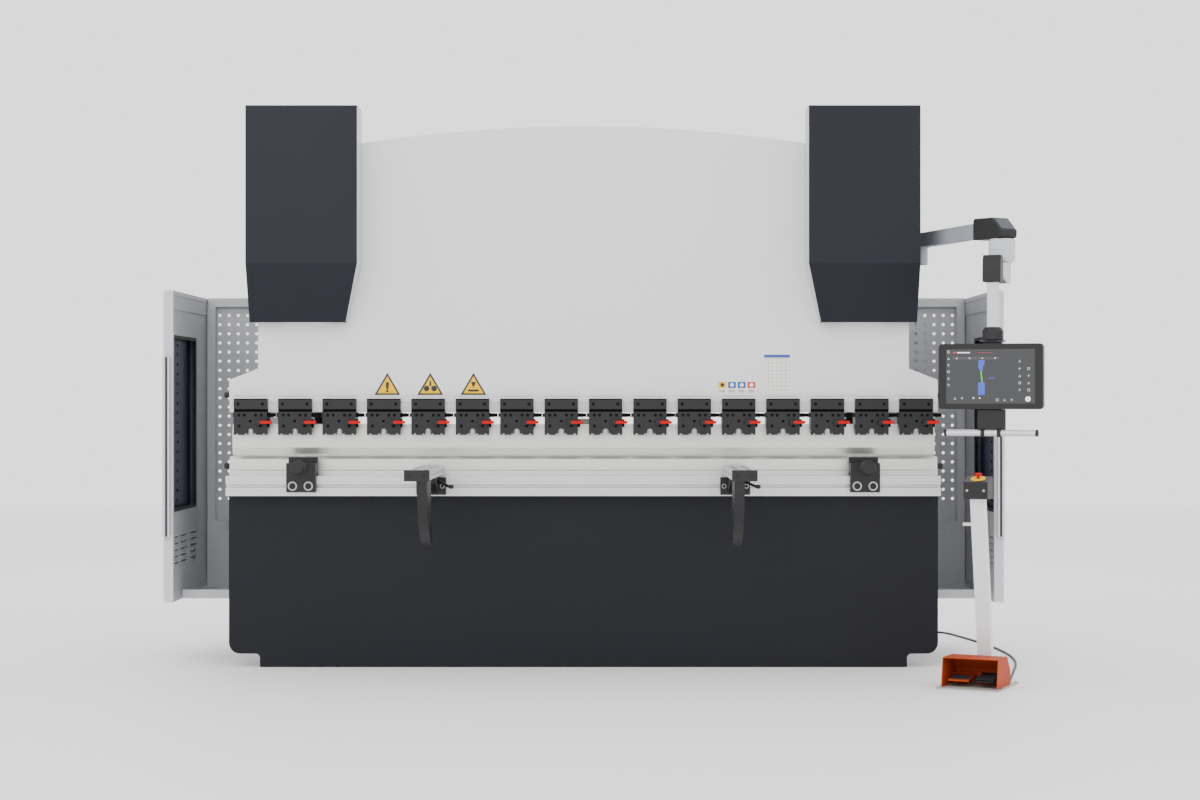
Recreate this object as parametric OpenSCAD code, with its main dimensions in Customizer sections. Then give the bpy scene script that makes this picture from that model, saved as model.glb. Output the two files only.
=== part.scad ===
// Press brake: two hydraulic cylinders drive a ram down onto a die on the bed.
// +Z is up, +X runs along the bed and the operator stands on the -Y side.
// The origin is on the floor, under the middle of the tool line.

/* [Machine] */
// Length of the bed and of the ram
bend_len = 3200; // [2600:10:4200]
// Distance from the end of the ram to the axis of a cylinder
overhang = 340; // [320:5:430]
// Thickness of the ram plate and of the bed plate
plate_t = 80; // [60:1:100]
// Height of the bed above the floor
bed_h = 863.5; // [760:0.5:1040]
// Height of the ram from its lower edge to its crown
ram_h = 1292; // [1150:1:1560]
// Travel of the ram
stroke = 200; // [120:5:250]

/* [Side frames] */
// Thickness of a side frame
frame_t = 50; // [35:1:70]
// Depth of a side frame, from the bed to its rear edge
frame_d = 1260; // [1200:5:1500]
// Depth of the throat behind the bed
throat_d = 380; // [300:5:500]
// Diameter of an anchor hole in a foot
anchor_d = 26; // [18:1:34]
// Distance between the two anchor holes of one foot
anchor_y = 950; // [700:5:980]

/* [Hydraulics] */
// Outer radius of a cylinder barrel
barrel_r = 140; // [125:1:165]
// Radius of a piston rod
rod_r = 60; // [40:1:75]
// Height of the oil tank
tank_h = 350; // [250:5:400]

/* [Cylinder covers] */
// Width of a cover
cover_w = 495; // [450:1:600]
// Depth of a cover in front of the ram
cover_d = 178; // [160:1:240]
// Thickness of the cover and guard sheet
sheet_t = 3; // [2:0.5:4]

/* [Tooling] */
// Height of the die holder
holder_h = 28.5; // [22:0.5:40]
// Height of the die
die_h = 59.5; // [45:0.5:90]
// Width of the die
die_w = 60; // [50:1:74]
// Width of the opening of the V in the die
vee_w = 16; // [14:1:24]
// Height of the punch from its tip to its shoulder
punch_h = 130; // [90:1:180]
// Thickness of the punch
punch_t = 30; // [24:1:36]
// Distance from one clamp to the next
clamp_pitch = 200; // [190:1:300]
// Width of a clamp
clamp_w = 150; // [110:1:152]

/* [Front rail] */
// Height of the rail on the front of the bed
rail_h = 89; // [78:1:110]
// Depth of the rail
rail_d = 87; // [60:1:110]
// Width of the mouth of the T-slot in the rail
slot_w = 16; // [12:0.5:20]
// Distance from the middle of the machine to a support arm
arm_x = 680; // [560:5:780]
// Length of the aluminium profile of an arm
arm_len = 795; // [600:5:1000]
// Width of the profile of an arm
arm_w = 100; // [70:1:120]

/* [Side guards] */
// Clear distance from the end of the bed to a side door
guard_gap = 270; // [200:5:340]
// Height of a side door
door_h = 1423; // [1180:1:1720]
// Depth of a side door
door_d = 880; // [760:5:1000]
// Thickness of a side door
door_t = 43; // [30:1:55]
// Height of the underside of a door above the floor
door_z = 284; // [240:1:340]

/* [Console] */
// Width of the screen housing
monitor_w = 434; // [360:1:520]
// Height of the screen housing
monitor_h = 272; // [220:1:300]
// Thickness of the screen housing
monitor_t = 42; // [34:1:55]

/* [Pedal stand] */
// Width of the pedal hood
hood_w = 240; // [220:1:290]
// Depth of the pedal hood
hood_d = 210; // [190:1:230]
// Height of the pedal hood
hood_h = 128; // [110:1:160]
// Diameter of the pedal cable
cable_d = 10; // [7:0.5:12]

/* [Hidden] */
$fn = 48;

// Clearances
gap = 0.3;        // between parts that slide or swing past each other
run_fit = 0.05;   // radial clearance of a turning or sliding shaft
seal_fit = 0.4;   // radial gap of a rod in its gland and of a piston in its bore
over = 5;         // how far a cut runs past the face that it opens

// Plan positions
half = bend_len / 2;
half_t = plate_t / 2;
cyl_x = half - overhang;
frame_x0 = cyl_x - frame_t / 2;
frame_x1 = cyl_x + frame_t / 2;
frame_rear = half_t + frame_d;

// Heights of the tool stack, from the bed up
die_z0 = bed_h + holder_h;
die_z1 = die_z0 + die_h;
vee_depth = vee_w / 2;
tip_inset = 3.6;
tip_z = die_z1 - tip_inset;
punch_z1 = tip_z + punch_h;
clamp_h = 74;
ram_z0 = punch_z1 + clamp_h;
crown_z = ram_z0 + ram_h;
shoulder_z = ram_z0 + 408;
crown_r = 6590;

// Widths of the ram
ram_waist_x = cyl_x + 210;
ram_top_x = cyl_x - 190;
ram_lug_h = 146;
ram_slope_h = 51;
beam_h = 75;
beam_inset = 2;

// Cylinders and guides
gland_h = 50;
rod_free = 90;
barrel_z0 = shoulder_z + stroke + rod_free;
piston_h = 80;
piston_z0 = barrel_z0 + gland_h + 5;
bore_r = barrel_r - 40;
head_t = 30;
barrel_z1 = piston_z0 + piston_h + stroke + 205 + head_t;
mount_y = barrel_r + 10;
gib_face_y = mount_y - 20;
slider_w = 70;
slider_z0 = ram_z0 + 200;
slider_h = 200;
gib_z0 = slider_z0 + 18;
gib_z1 = slider_z0 + slider_h + stroke + 48;
slider_y1 = gib_face_y - 25;
frame_top = barrel_z1 - 20;
throat_z1 = gib_z0 - 30;
throat_z0 = bed_h - 13.5;
throat_y = half_t + throat_d;
throat_r = 60;
lift_r = 45;
foot_x = cyl_x + 90;
foot_w = 195;
foot_h = 25;
foot_d = anchor_y + 190;
anchor_y0 = frame_rear - 100 - anchor_y;

// Tank and pump
tank_y0 = throat_y + 80;
tank_d = 400;
tank_wall = 6;
tank_z0 = frame_top - 150 - tank_h;
lid_t = 6;
tank_z1 = tank_z0 + tank_h;
pipe_r = 14;
elbow_s = 38;
block_h = 80;
block_w = 160;
block_d = 120;

// Covers
cover_x0 = cyl_x + 238 - cover_w;
cover_x1 = cyl_x + 238;
cover_z0 = shoulder_z - 4;
cover_bend_z = cover_z0 + 259;
cover_z1 = barrel_z1 + block_h + 15;
cover_back = -half_t - 2;
cover_front = cover_back - cover_d;
cover_toe = 64;
cover_taper = 64;
cover_side_y = 60;

// Bed
bed_x = half + 2;
plinth_x = half - 138;
plinth_h = 61;
bed_corner = 50;
plinth_fillet = 19;

// Rail, arms and stops
rail_z1 = bed_h + 2.5;
rail_z0 = rail_z1 - rail_h;
rail_y0 = -half_t - rail_d;
slot_z = rail_z0 + rail_h / 2;
arm_z0 = rail_z1 + 7;
arm_h = 40;
arm_y0 = rail_y0 - 733;
carriage_w = 133;
stop_w = 131;
stop_x = cyl_x;
knob_r = 32.5;
knob_z = rail_z1 + 42;

// Clamps
clamp_n = floor((bend_len - clamp_w) / clamp_pitch) + 1;
clamp_x0 = -(clamp_n - 1) * clamp_pitch / 2;
clamp_y0 = -half_t - 35;
plate_y1 = -half_t - 10;
plate_z0 = punch_z1 - 28;
lever_y = clamp_y0 - 12.5;
lever_z = punch_z1 + 29;
tang_w = 14;
tang_h = 20;

// Guards
door_x0 = bed_x + guard_gap;
door_x1 = door_x0 + door_t;
door_y0 = 50;
door_y1 = door_y0 + door_d;
door_z1 = door_z + door_h;
screen_x1 = door_x0 - 2;
screen_y1 = door_y1 + 2;
screen_z0 = door_z + 278;
stile_w = 38;
hinge_y = door_y1 + 11;
hinge_r = 9;
hinge_pin_r = 4;
hinge_h = 30;
hinge_zs = [door_z + 90, door_z + door_h / 2 - hinge_h, door_z1 - 90 - 2 * hinge_h];
tray_y0 = door_y0 + 206;
window_z0 = door_z + 413;
window_z1 = door_z1 - 205;
window_y0 = door_y0 + 20;
window_y1 = window_y0 + 561;
lap = 15;

// Cabinet
cab_x1 = frame_x1 + 415;
cab_y0 = screen_y1 + 8;
cab_y1 = cab_y0 + 300;
cab_z0 = 500;
cab_z1 = door_z1 - 107;
cab_wall = 2.5;
cab_hinge_r = 6;
cab_hinge = [cab_x1 + cab_hinge_r + 0.5, cab_y1 + 1];
cab_hinge_zs = [cab_z0 + 120, cab_z1 - 160];

// Console
pivot = [cover_x1 + 47, 110];
elbow = [pivot[0] + 195, pivot[1] - 670];
swivel = [elbow[0] + 45, elbow[1] - 80];
stem = [swivel[0] - 65, swivel[1] - 160];
boom_z = barrel_z0 + 52;
boom_h = 70;
boom_w = 50;
pin_r = 14;
stem_r = 23;
monitor_z = boom_z - 597;
monitor_yaw = -20;

// Pedal stand
stand = [door_x0 - 212, -730];
stand_yaw = -25;
base_t = 6;
hood_t = 3;
post_w = 60;
post_d = 40;
post_foot_y = 150;
post_lean = 135;
post_h = 784;
head_z = base_t + post_h;
pedal_w = 88;
pedal_x = 54;
pedal_hinge_y = 62;
pedal_hinge_z = 46;
pedal_pin_r = 4;

// Back gauge
gauge_rail_x = 900;
gauge_z = throat_z0 + 12;
gauge_back = half_t + 720;
beam_y = half_t + 360;
beam_z = gauge_z + 98;

// Route of the pedal cable: out of the cabinet gland, down, along the floor and into the hood
cable_route = [
    [1620, 1120, 480], [1620, 1120, 400], [1622, 1126, 300], [1630, 1150, 180], [1646, 1200, 70],
    [1672, 1275, 14], [1710, 1350, 5], [1762, 1410, 5], [1818, 1418, 5], [1862, 1350, 5],
    [1893, 1225, 5], [1926, 1070, 5], [1958, 900, 5], [1984, 720, 5], [1998, 540, 5],
    [2000, 360, 5], [1988, 180, 5], [1960, 0, 5], [1922, -170, 5], [1886, -330, 5],
    [1856, -460, 5], [1832, -560, 7], [1810, -612, 20], [1790, -655, 30]
];

// Points on an arc of n chords from angle a0 to angle a1
function arc(c, r, a0, a1, n = 6) =
    [for (i = [0:n]) let (a = a0 + (a1 - a0) * i / n) c + r * [cos(a), sin(a)]];

// A right-hand outline, listed from the bottom up, closed by its mirror image
function both_halves(p) = concat(p, [for (i = [len(p) - 1:-1:0]) [-p[i][0], p[i][1]]]);

// Quadratic curve from a to c, drawn towards b
function bend(a, b, c, n = 8) =
    [for (i = [0:n]) let (t = i / n) (1 - t) * (1 - t) * a + 2 * t * (1 - t) * b + t * t * c];

// Outline of a rectangle with round corners, centred
function round_rect(w, h, r) = concat(
    arc([w / 2 - r, h / 2 - r], r, 0, 90), arc([r - w / 2, h / 2 - r], r, 90, 180),
    arc([r - w / 2, r - h / 2], r, 180, 270), arc([w / 2 - r, r - h / 2], r, 270, 360));

// A box between two corners
module block(a, b) translate(a) cube(b - a);

// A plate seen from the side: its outline is in Y and Z, and it runs from x0 for t along X
module side_plate(x0, t) translate([x0, 0, 0]) rotate([90, 0, 90]) linear_extrude(t) children();

// A plate seen from the front: its outline is in X and Z, and it runs from y0 for t along Y
module front_plate(y0, t) translate([0, y0 + t, 0]) rotate([90, 0, 0]) linear_extrude(t) children();

// The side of +X as drawn, and the side of -X as its mirror image
module on_side(s) mirror([s < 0 ? 1 : 0, 0, 0]) children();
module on_both_sides() for (s = [-1, 1]) on_side(s) children();

// A rod along Y from y0 to y1
module rod_y(x, z, r, y0, y1) translate([x, y0, z]) rotate([-90, 0, 0]) cylinder(r = r, h = y1 - y0);

// ---- Frame ----

frame_side = concat(
    [[half_t, 0], [frame_rear, 0]],
    arc([frame_rear - 160, frame_top - 400], 160, 0, 50),
    arc([frame_rear - 500, frame_top - 120], 120, 50, 90),
    [[mount_y, frame_top], [mount_y, gib_z1 + 10], [gib_face_y, gib_z1 + 10], [gib_face_y, throat_z1]],
    arc([throat_y - throat_r, throat_z1 - throat_r], throat_r, 90, 0),
    arc([throat_y - throat_r, throat_z0 + throat_r], throat_r, 0, -90),
    [[half_t, throat_z0]]);

module side_frame(s) {
    color("#23252f") on_side(s) difference() {
        union() {
            side_plate(frame_x0, frame_t) polygon(frame_side);
            translate([frame_x0 - 30, anchor_y0 - 90, 0]) cube([foot_w, foot_d, foot_h]);
        }
        for (y = [anchor_y0, anchor_y0 + anchor_y])
            translate([foot_x, y, -over]) cylinder(d = anchor_d, h = foot_h + 2 * over);
        translate([frame_x0 - over, frame_rear - 250, frame_top - 330]) rotate([0, 90, 0])
            cylinder(r = lift_r, h = frame_t + 2 * over);
    }
}

module bed() {
    color("#23252f") front_plate(-half_t, plate_t) polygon(both_halves(concat(
        [[plinth_x, 0]],
        arc([plinth_x + plinth_fillet, plinth_h - plinth_fillet], plinth_fillet, 180, 90),
        arc([bed_x - bed_corner, plinth_h + bed_corner], bed_corner, -90, 0),
        [[bed_x, bed_h]])));
}

// Square tubes between the side frames
module cross_ties() {
    tube = 120;
    wall = 10;
    places = [[frame_rear - 300, 300], [frame_rear - 200, 1250], [throat_y + 60, throat_z1 + 80]];
    color("#2b2d3a") for (p = places)
        side_plate(-frame_x0, 2 * frame_x0) translate(p) difference() {
            square(tube);
            translate([wall, wall]) square(tube - 2 * wall);
        }
}

// ---- Hydraulics ----

module oil_tank() {
    color("#8b8f96") difference() {
        block([-frame_x0, tank_y0, tank_z0], [frame_x0, tank_y0 + tank_d, tank_z1]);
        block([tank_wall - frame_x0, tank_y0 + tank_wall, tank_z0 + tank_wall],
            [frame_x0 - tank_wall, tank_y0 + tank_d - tank_wall, tank_z1 + over]);
    }
}

module tank_lid() {
    color("#9a9da3") block([-frame_x0, tank_y0, tank_z1], [frame_x0, tank_y0 + tank_d, tank_z1 + lid_t]);
}

module pump_motor() {
    y = tank_y0 + tank_d / 2;
    z = tank_z1 + lid_t;
    color("#3c4250") translate([0, y, z]) {
        cylinder(r = 125, h = 22);
        translate([0, 0, 21]) cylinder(r = 95, h = 60);
        translate([0, 0, 80]) cylinder(r = 112, h = 120);
        translate([0, 0, 199]) cylinder(r = 104, h = 42);
        translate([90, -45, 100]) cube([70, 90, 80]);
    }
}

module valve_blocks() {
    color("#8f9298") on_both_sides() {
        block([cyl_x - block_w / 2, -block_d / 2, barrel_z1],
            [cyl_x + block_w / 2, block_d / 2, barrel_z1 + block_h]);
        translate([cyl_x + 40, 0, barrel_z1 + block_h / 2]) rotate([0, 90, 0]) cylinder(r = 24, h = 110);
    }
}

// One pipe from the back of each valve block to the tank lid
module hydraulic_pipes() {
    x = frame_x0 - 26;
    z = barrel_z1 + block_h / 2;
    y = tank_y0 + 90;
    color("#b9bcc0") on_both_sides() {
        rod_y(x, z, pipe_r, block_d / 2, y);
        translate([x, y, z]) cube(elbow_s, center = true);
        translate([x, y, tank_z1 + lid_t]) cylinder(r = pipe_r, h = z - tank_z1 - lid_t);
    }
}

module cylinder_barrels() {
    foot_z = barrel_z0 + 150;
    bore_z = barrel_z0 + gland_h;
    color("#c9ccd0") on_both_sides() difference() {
        union() {
            translate([cyl_x, 0, barrel_z0]) cylinder(r = barrel_r, h = barrel_z1 - barrel_z0);
            block([cyl_x - 105, bore_r + 15, foot_z], [cyl_x + 105, mount_y, foot_z + 300]);
        }
        translate([cyl_x, 0, bore_z]) cylinder(r = bore_r, h = barrel_z1 - head_t - bore_z);
        translate([cyl_x, 0, barrel_z0 - over]) cylinder(r = rod_r + seal_fit, h = gland_h + 2 * over);
    }
}

module piston_rods() {
    color("#dfe2e6") on_both_sides() translate([cyl_x, 0, 0]) {
        translate([-rod_r - 35, -rod_r, shoulder_z]) cube([2 * rod_r + 70, 2 * rod_r, 30]);
        translate([0, 0, shoulder_z + 29]) cylinder(r = rod_r, h = piston_z0 - shoulder_z - 28);
        translate([0, 0, piston_z0]) cylinder(r = bore_r - seal_fit, h = piston_h);
    }
}

// ---- Cylinder covers ----

// Front view and side view of a cover, drawn in by t
function cover_front_view(t) = [
    [cover_x0 + t, cover_z1 - t], [cover_x0 + t, cover_bend_z], [cover_x0 + t + cover_taper, cover_z0 - t],
    [cover_x1 - t, cover_z0 - t], [cover_x1 - t, cover_z1 - t]];
function cover_side_view(t) = [
    [cover_front + t, cover_z1 - t], [cover_front + t, cover_bend_z],
    [cover_back - cover_toe + t, cover_z0 - t], [cover_side_y + t, cover_z0 - t],
    [cover_side_y + t, cover_z1 - t]];

module cover_block(t) {
    intersection() {
        front_plate(cover_front - over, cover_d + 200) polygon(cover_front_view(t));
        side_plate(cover_x0 - over, cover_w + 2 * over) polygon(cover_side_view(t));
    }
}

// Bracket that holds a cover: it runs round the barrel, from the cover's wall to the side frame
module cover_bracket() {
    t = 6;
    z0 = barrel_z0 + 260;
    z1 = z0 + 200;
    x = cyl_x + barrel_r + 8;
    y = mount_y + 60;
    block([x, cover_side_y - t, z0], [cover_x1 - sheet_t, cover_side_y, z1]);
    block([x, cover_side_y - t, z0], [x + t, y, z1]);
    block([frame_x1, y - t, z0], [x + t, y, z1]);
    block([frame_x1, mount_y + 5, z0], [frame_x1 + t, y, z1]);
}

module cover(s) {
    cut_x = ram_top_x + 15;
    y1 = cover_side_y + over;
    color("#2b2d3a") on_side(s) {
        difference() {
            cover_block(0);
            cover_block(sheet_t);
            block([cover_x0 - over, cover_back, cover_z0 - over], [cut_x, y1, cover_z1 + over]);
            block([cut_x - over, cover_back, cover_z0 - over],
                [cover_x1 + over, y1, shoulder_z + stroke + 40]);
        }
        cover_bracket();
    }
}

// ---- Ram ----

// Guides on the side frames: each one takes a slider of the ram and stays clear of the piston rod
module ram_gibs() {
    w = slider_w / 2;
    color("#9a9da3") on_both_sides() translate([cyl_x, 0, 0]) difference() {
        block([-w - 25, rod_r + 12, gib_z0], [w + 25, gib_face_y, gib_z1]);
        block([-w - gap, half_t, gib_z0 - over], [w + gap, slider_y1 + gap, gib_z1 + over]);
    }
}

function crown_at(x) = crown_z - crown_r + sqrt(crown_r * crown_r - x * x);

module ram() {
    end = half + over;
    face = both_halves(concat(
        [[half, ram_z0], [half, ram_z0 + ram_lug_h], [ram_waist_x, ram_z0 + ram_lug_h + ram_slope_h],
            [ram_waist_x, shoulder_z], [ram_top_x, shoulder_z]],
        [for (i = [0:7]) let (x = ram_top_x * (1 - i / 7.5)) [x, crown_at(x)]]));
    color("#e2e3e3") union() {
        difference() {
            front_plate(-half_t, plate_t) polygon(face);
            block([-end, -half_t - over, ram_z0 - over], [end, beam_inset - half_t, ram_z0 + beam_h]);
            block([-end, -half_t - over, ram_z0 + 40], [end, beam_inset + 4 - half_t, ram_z0 + 44]);
        }
        on_both_sides() translate([cyl_x - slider_w / 2, half_t - 1, slider_z0])
            cube([slider_w, slider_y1 - half_t + 1, slider_h]);
    }
}

module end_knobs() {
    color("#1c1c1e") on_both_sides() translate([half, 0, ram_z0 + 78]) rotate([0, 90, 0]) {
        cylinder(r = 8, h = 10);
        translate([0, 0, 9]) cylinder(r = 13, h = 18);
    }
}

// ---- Tooling ----

module die_holder() {
    y = half_t - 2;
    color("#c9c9c7") side_plate(-half, bend_len) polygon([
        [-y, bed_h], [y, bed_h], [y, die_z0 - 4], [y - 4, die_z0], [4 - y, die_z0], [-y, die_z0 - 4]]);
}

module die() {
    y = die_w / 2;
    v = vee_w / 2;
    color("#b9b9b6") side_plate(-half, bend_len) polygon([
        [-y, die_z0], [y, die_z0], [y, die_z1 - 11.5], [v + 12, die_z1], [v, die_z1],
        [0, die_z1 - vee_depth], [-v, die_z1], [-v - 12, die_z1], [-y, die_z1 - 11.5]]);
}

module punch() {
    y = punch_t / 2;
    k = tang_w / 2;
    color("#d6d6d4") side_plate(10 - half, bend_len - 20) polygon([
        [1, tip_z], [y, tip_z + 44], [y, punch_z1], [k, punch_z1], [k, punch_z1 + tang_h],
        [-k, punch_z1 + tang_h], [-k, punch_z1], [-y, punch_z1], [-y, tip_z + 44], [-1, tip_z]]);
}

module at_clamps() for (i = [0:clamp_n - 1]) translate([clamp_x0 + i * clamp_pitch, 0, 0]) children();

// Jaw under the ram and the block above it
module clamp_blocks() {
    w = clamp_w / 2;
    k = tang_w / 2 + gap;
    color("#333335") at_clamps() {
        difference() {
            union() {
                block([-w, plate_y1, punch_z1], [w, half_t - 5, ram_z0]);
                block([-w - 10, plate_y1 + 8, ram_z0 - 22], [w + 22, plate_y1 + 38, ram_z0 - 4]);
            }
            block([-w - over, -k, punch_z1 - over], [w + over, k, punch_z1 + tang_h + gap]);
        }
        block([-w, clamp_y0, ram_z0 + 14], [w, beam_inset - half_t, ram_z0 + 61]);
    }
}

// Front jaw plate with its notches and the lug that carries the lever
module clamp_plates() {
    w = clamp_w / 2;
    notch_r = 13.5;
    color("#3b3b3b") at_clamps() difference() {
        union() {
            front_plate(clamp_y0, plate_y1 - clamp_y0) difference() {
                translate([-w, plate_z0]) square([clamp_w, ram_z0 + 2 - plate_z0]);
                translate([-notch_r, plate_z0 - over]) square([2 * notch_r, over + 16]);
                translate([0, plate_z0 + 16]) circle(r = notch_r);
                for (x = [-60, -20, 20, 60]) translate([x - 5, plate_z0 - over]) square([10, over + 7]);
            }
            block([w - 47, lever_y - 9.5, lever_z - 10], [w - 29.3, clamp_y0 + 1, lever_z + 10]);
        }
        translate([w - 47 - over, lever_y, lever_z]) rotate([0, 90, 0]) cylinder(r = 4 + run_fit, h = 30);
        rod_y(0, lever_z + 5, 6, clamp_y0 - over, clamp_y0 + 12);
    }
}

module clamp_levers() {
    x = clamp_w / 2 - 29;
    color("#d8302a") at_clamps() translate([x, lever_y, lever_z]) {
        translate([0, 9, 0]) rotate([90, 0, 0]) linear_extrude(18) polygon(concat(
            [[0, -7]], arc([46, 0], 7, -90, 90), [[0, 7]]));
        translate([-17, 0, 0]) rotate([0, 90, 0]) cylinder(r = 4, h = 19);
    }
}

// ---- Front rail, support arms and side stops ----

module arm_rail() {
    front = rail_y0 - over;
    grooves = [rail_z0 + 12, rail_z0 + 22, rail_z1 - 26, rail_z1 - 12];
    color("#c4c5c6") side_plate(-bed_x, 2 * bed_x) difference() {
        translate([rail_y0, rail_z0]) square([rail_d, rail_h]);
        translate([front, slot_z - slot_w / 2]) square([over + 10, slot_w]);
        translate([rail_y0 + 9, slot_z - slot_w]) square([12, 2 * slot_w]);
        for (z = grooves) translate([front, z]) square([over + 3, 4]);
    }
}

module arm_profile(s) {
    color("#c4c5c6") on_side(s) translate([arm_x, arm_y0 + arm_len, arm_z0]) rotate([90, 0, 0])
        linear_extrude(arm_len) difference() {
            translate([-arm_w / 2, 0]) square([arm_w, arm_h]);
            for (x = [-arm_w / 4, arm_w / 4]) {
                translate([x - 4, arm_h - 5]) square([8, 5 + over]);
                translate([x - 8, arm_h - 12]) square([16, 8]);
            }
            for (m = [-1, 1]) translate([m * arm_w / 2 - 5, arm_h / 2 - 4]) square([10, 8]);
        }
}

// Key of width w that runs in the mouth of the rail's T-slot
module rail_tongue(w) {
    h = slot_w / 2 - 0.6;
    block([-w / 2, rail_y0 - gap - 1, slot_z - h], [w / 2, rail_y0 + 8, slot_z + h]);
}

// Carriage on the rail, neck under the profile, end cap and the curved rest below it
module arm_bracket(s) {
    rest_w = 42;
    inward = 20;
    rest = concat(
        bend([arm_y0 + 4, arm_z0], [arm_y0 + 34, arm_z0 - 235], [arm_y0 + 262, arm_z0 - 288]),
        bend([arm_y0 + 282, arm_z0 - 268], [arm_y0 + 200, arm_z0 - 170], [arm_y0 + 214, arm_z0]));
    color("#1c1c1e") on_side(s) translate([arm_x, 0, 0]) {
        block([-carriage_w / 2, rail_y0 - 18, rail_z0 + 6], [carriage_w / 2, rail_y0 - gap, rail_z1 - 5]);
        rail_tongue(carriage_w - 16);
        side_plate(-32, 64) polygon([
            [rail_y0 - 17, rail_z0 + 20], [rail_y0 - 17, arm_z0], [rail_y0 - 170, arm_z0],
            [rail_y0 - 150, arm_z0 - 34], [rail_y0 - 60, rail_z0 + 20]]);
        side_plate(-inward - rest_w / 2, rest_w) polygon(rest);
        block([-arm_w / 2 - 3, arm_y0 - 9, arm_z0 - 3], [arm_w / 2 + 3, arm_y0, arm_z0 + arm_h + 3]);
    }
}

module stop(s) {
    w = stop_w / 2;
    front = rail_y0 - 35;
    color("#262626") on_side(s) translate([stop_x, 0, 0]) difference() {
        union() {
            block([-w, front, rail_z0 + 18], [w, rail_y0 - gap, rail_z1 + 59]);
            block([-w, front, rail_z1 + 14], [w, rail_y0 + 55, rail_z1 + 59]);
            block([-w, rail_y0 + 40, rail_z1 + gap], [w, rail_y0 + 55, rail_z1 + 84]);
            rail_tongue(stop_w - 16);
        }
        rod_y(0, knob_z, 8 + run_fit, front - over, front + 25);
    }
}

module stop_knob(s) {
    front = rail_y0 - 35;
    color("#1c1c1e") on_side(s) translate([stop_x, front, knob_z]) rotate([90, 0, 0])
        rotate_extrude() polygon(concat(
            [[0, -24], [8, -24], [8, 0.5], [14, 0.5], [14, 70]],
            arc([knob_r - 10, 80], 10, -90, 0, 4), arc([knob_r - 10, 118], 10, 0, 90, 4), [[0, 128]]));
}

// ---- Side guards ----

// Rear screen beside the side frame: a sheet with a top rail, a full-height stile and the
// door's fixed hinge halves
module guard_screen(s) {
    fold = 30;
    stile_x = screen_x1 - stile_w;
    color("#c5c7c8") on_side(s) {
        difference() {
            block([frame_x1, screen_y1 - fold, screen_z0], [screen_x1, screen_y1, door_z1 + 3]);
            block([frame_x1 - over, screen_y1 - fold - over, screen_z0 - over],
                [stile_x, screen_y1 - sheet_t, door_z1 - 42]);
        }
        block([stile_x, screen_y1 - fold, door_z], [screen_x1, screen_y1, screen_z0 + 1]);
        for (z = hinge_zs) {
            block([screen_x1 - 30, screen_y1, z], [door_x1, screen_y1 + 6, z + hinge_h]);
            translate([door_x1, hinge_y, z]) cylinder(r = hinge_r, h = hinge_h);
            translate([door_x1, hinge_y, z]) cylinder(r = hinge_pin_r, h = 2 * hinge_h);
        }
    }
}

// Floor tray with its front rail and the stepped kick panel under the screen
module guard_tray(s) {
    rail = 41;
    kick_y = screen_y1 - 30 - sheet_t;
    color("#b4b7ba") on_side(s) {
        block([frame_x1, tray_y0, door_z], [screen_x1, kick_y + sheet_t, door_z + sheet_t]);
        block([frame_x1, tray_y0, door_z], [screen_x1, tray_y0 + sheet_t, door_z + rail]);
        front_plate(kick_y, sheet_t) polygon([
            [frame_x1, door_z], [screen_x1, door_z], [screen_x1, door_z + 326],
            [screen_x1 - 90, door_z + 326], [screen_x1 - 90, screen_z0], [frame_x1, screen_z0]]);
        block([frame_x1, kick_y + sheet_t - 1, screen_z0 - sheet_t],
            [screen_x1 - stile_w, screen_y1, screen_z0]);
    }
}

// A folded sheet door with its window opening and its hinge halves
module guard_door(s) {
    flange = 20;
    t = sheet_t;
    bore_h = hinge_h + 2 * over;
    color("#c5c7c8") on_side(s) difference() {
        union() {
            difference() {
                block([door_x0, door_y0, door_z], [door_x1, door_y1, door_z1]);
                block([door_x0 + t, door_y0 + t, door_z + t], [door_x1 - t, door_y1 - t, door_z1 - t]);
                block([door_x0 - over, door_y0 + flange, door_z + flange],
                    [door_x0 + t + over, door_y1 - flange, door_z1 - flange]);
                block([door_x1 - t - over, window_y0, window_z0], [door_x1 + over, window_y1, window_z1]);
            }
            for (z = hinge_zs) translate([door_x1, 0, z + hinge_h + gap]) {
                translate([0, hinge_y, 0]) cylinder(r = hinge_r, h = hinge_h - gap);
                block([-hinge_r, door_y1 - 1, 0], [0, hinge_y, hinge_h - gap]);
            }
        }
        for (z = hinge_zs)
            translate([door_x1, hinge_y, z + hinge_h - over]) cylinder(r = hinge_pin_r + run_fit, h = bore_h);
    }
}

module window(s) {
    color("#20203f") on_side(s) block([door_x1 - sheet_t - 4, window_y0 - lap, window_z0 - lap],
        [door_x1 - sheet_t, window_y1 + lap, window_z1 + lap]);
}

// Full-height pull on the front edge of a door
module handle(s) {
    w = 31;
    depth = 28;
    color("#b9bcc0") on_side(s) translate([door_x1 - w, door_y0, window_z0 - 114]) linear_extrude(822)
        polygon([
            [0, 0], [0, -depth], [w, -depth], [w, -depth + 5], [5, -depth + 5], [5, -5], [w, -5], [w, 0]]);
}

// ---- Electrical cabinet ----

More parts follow.
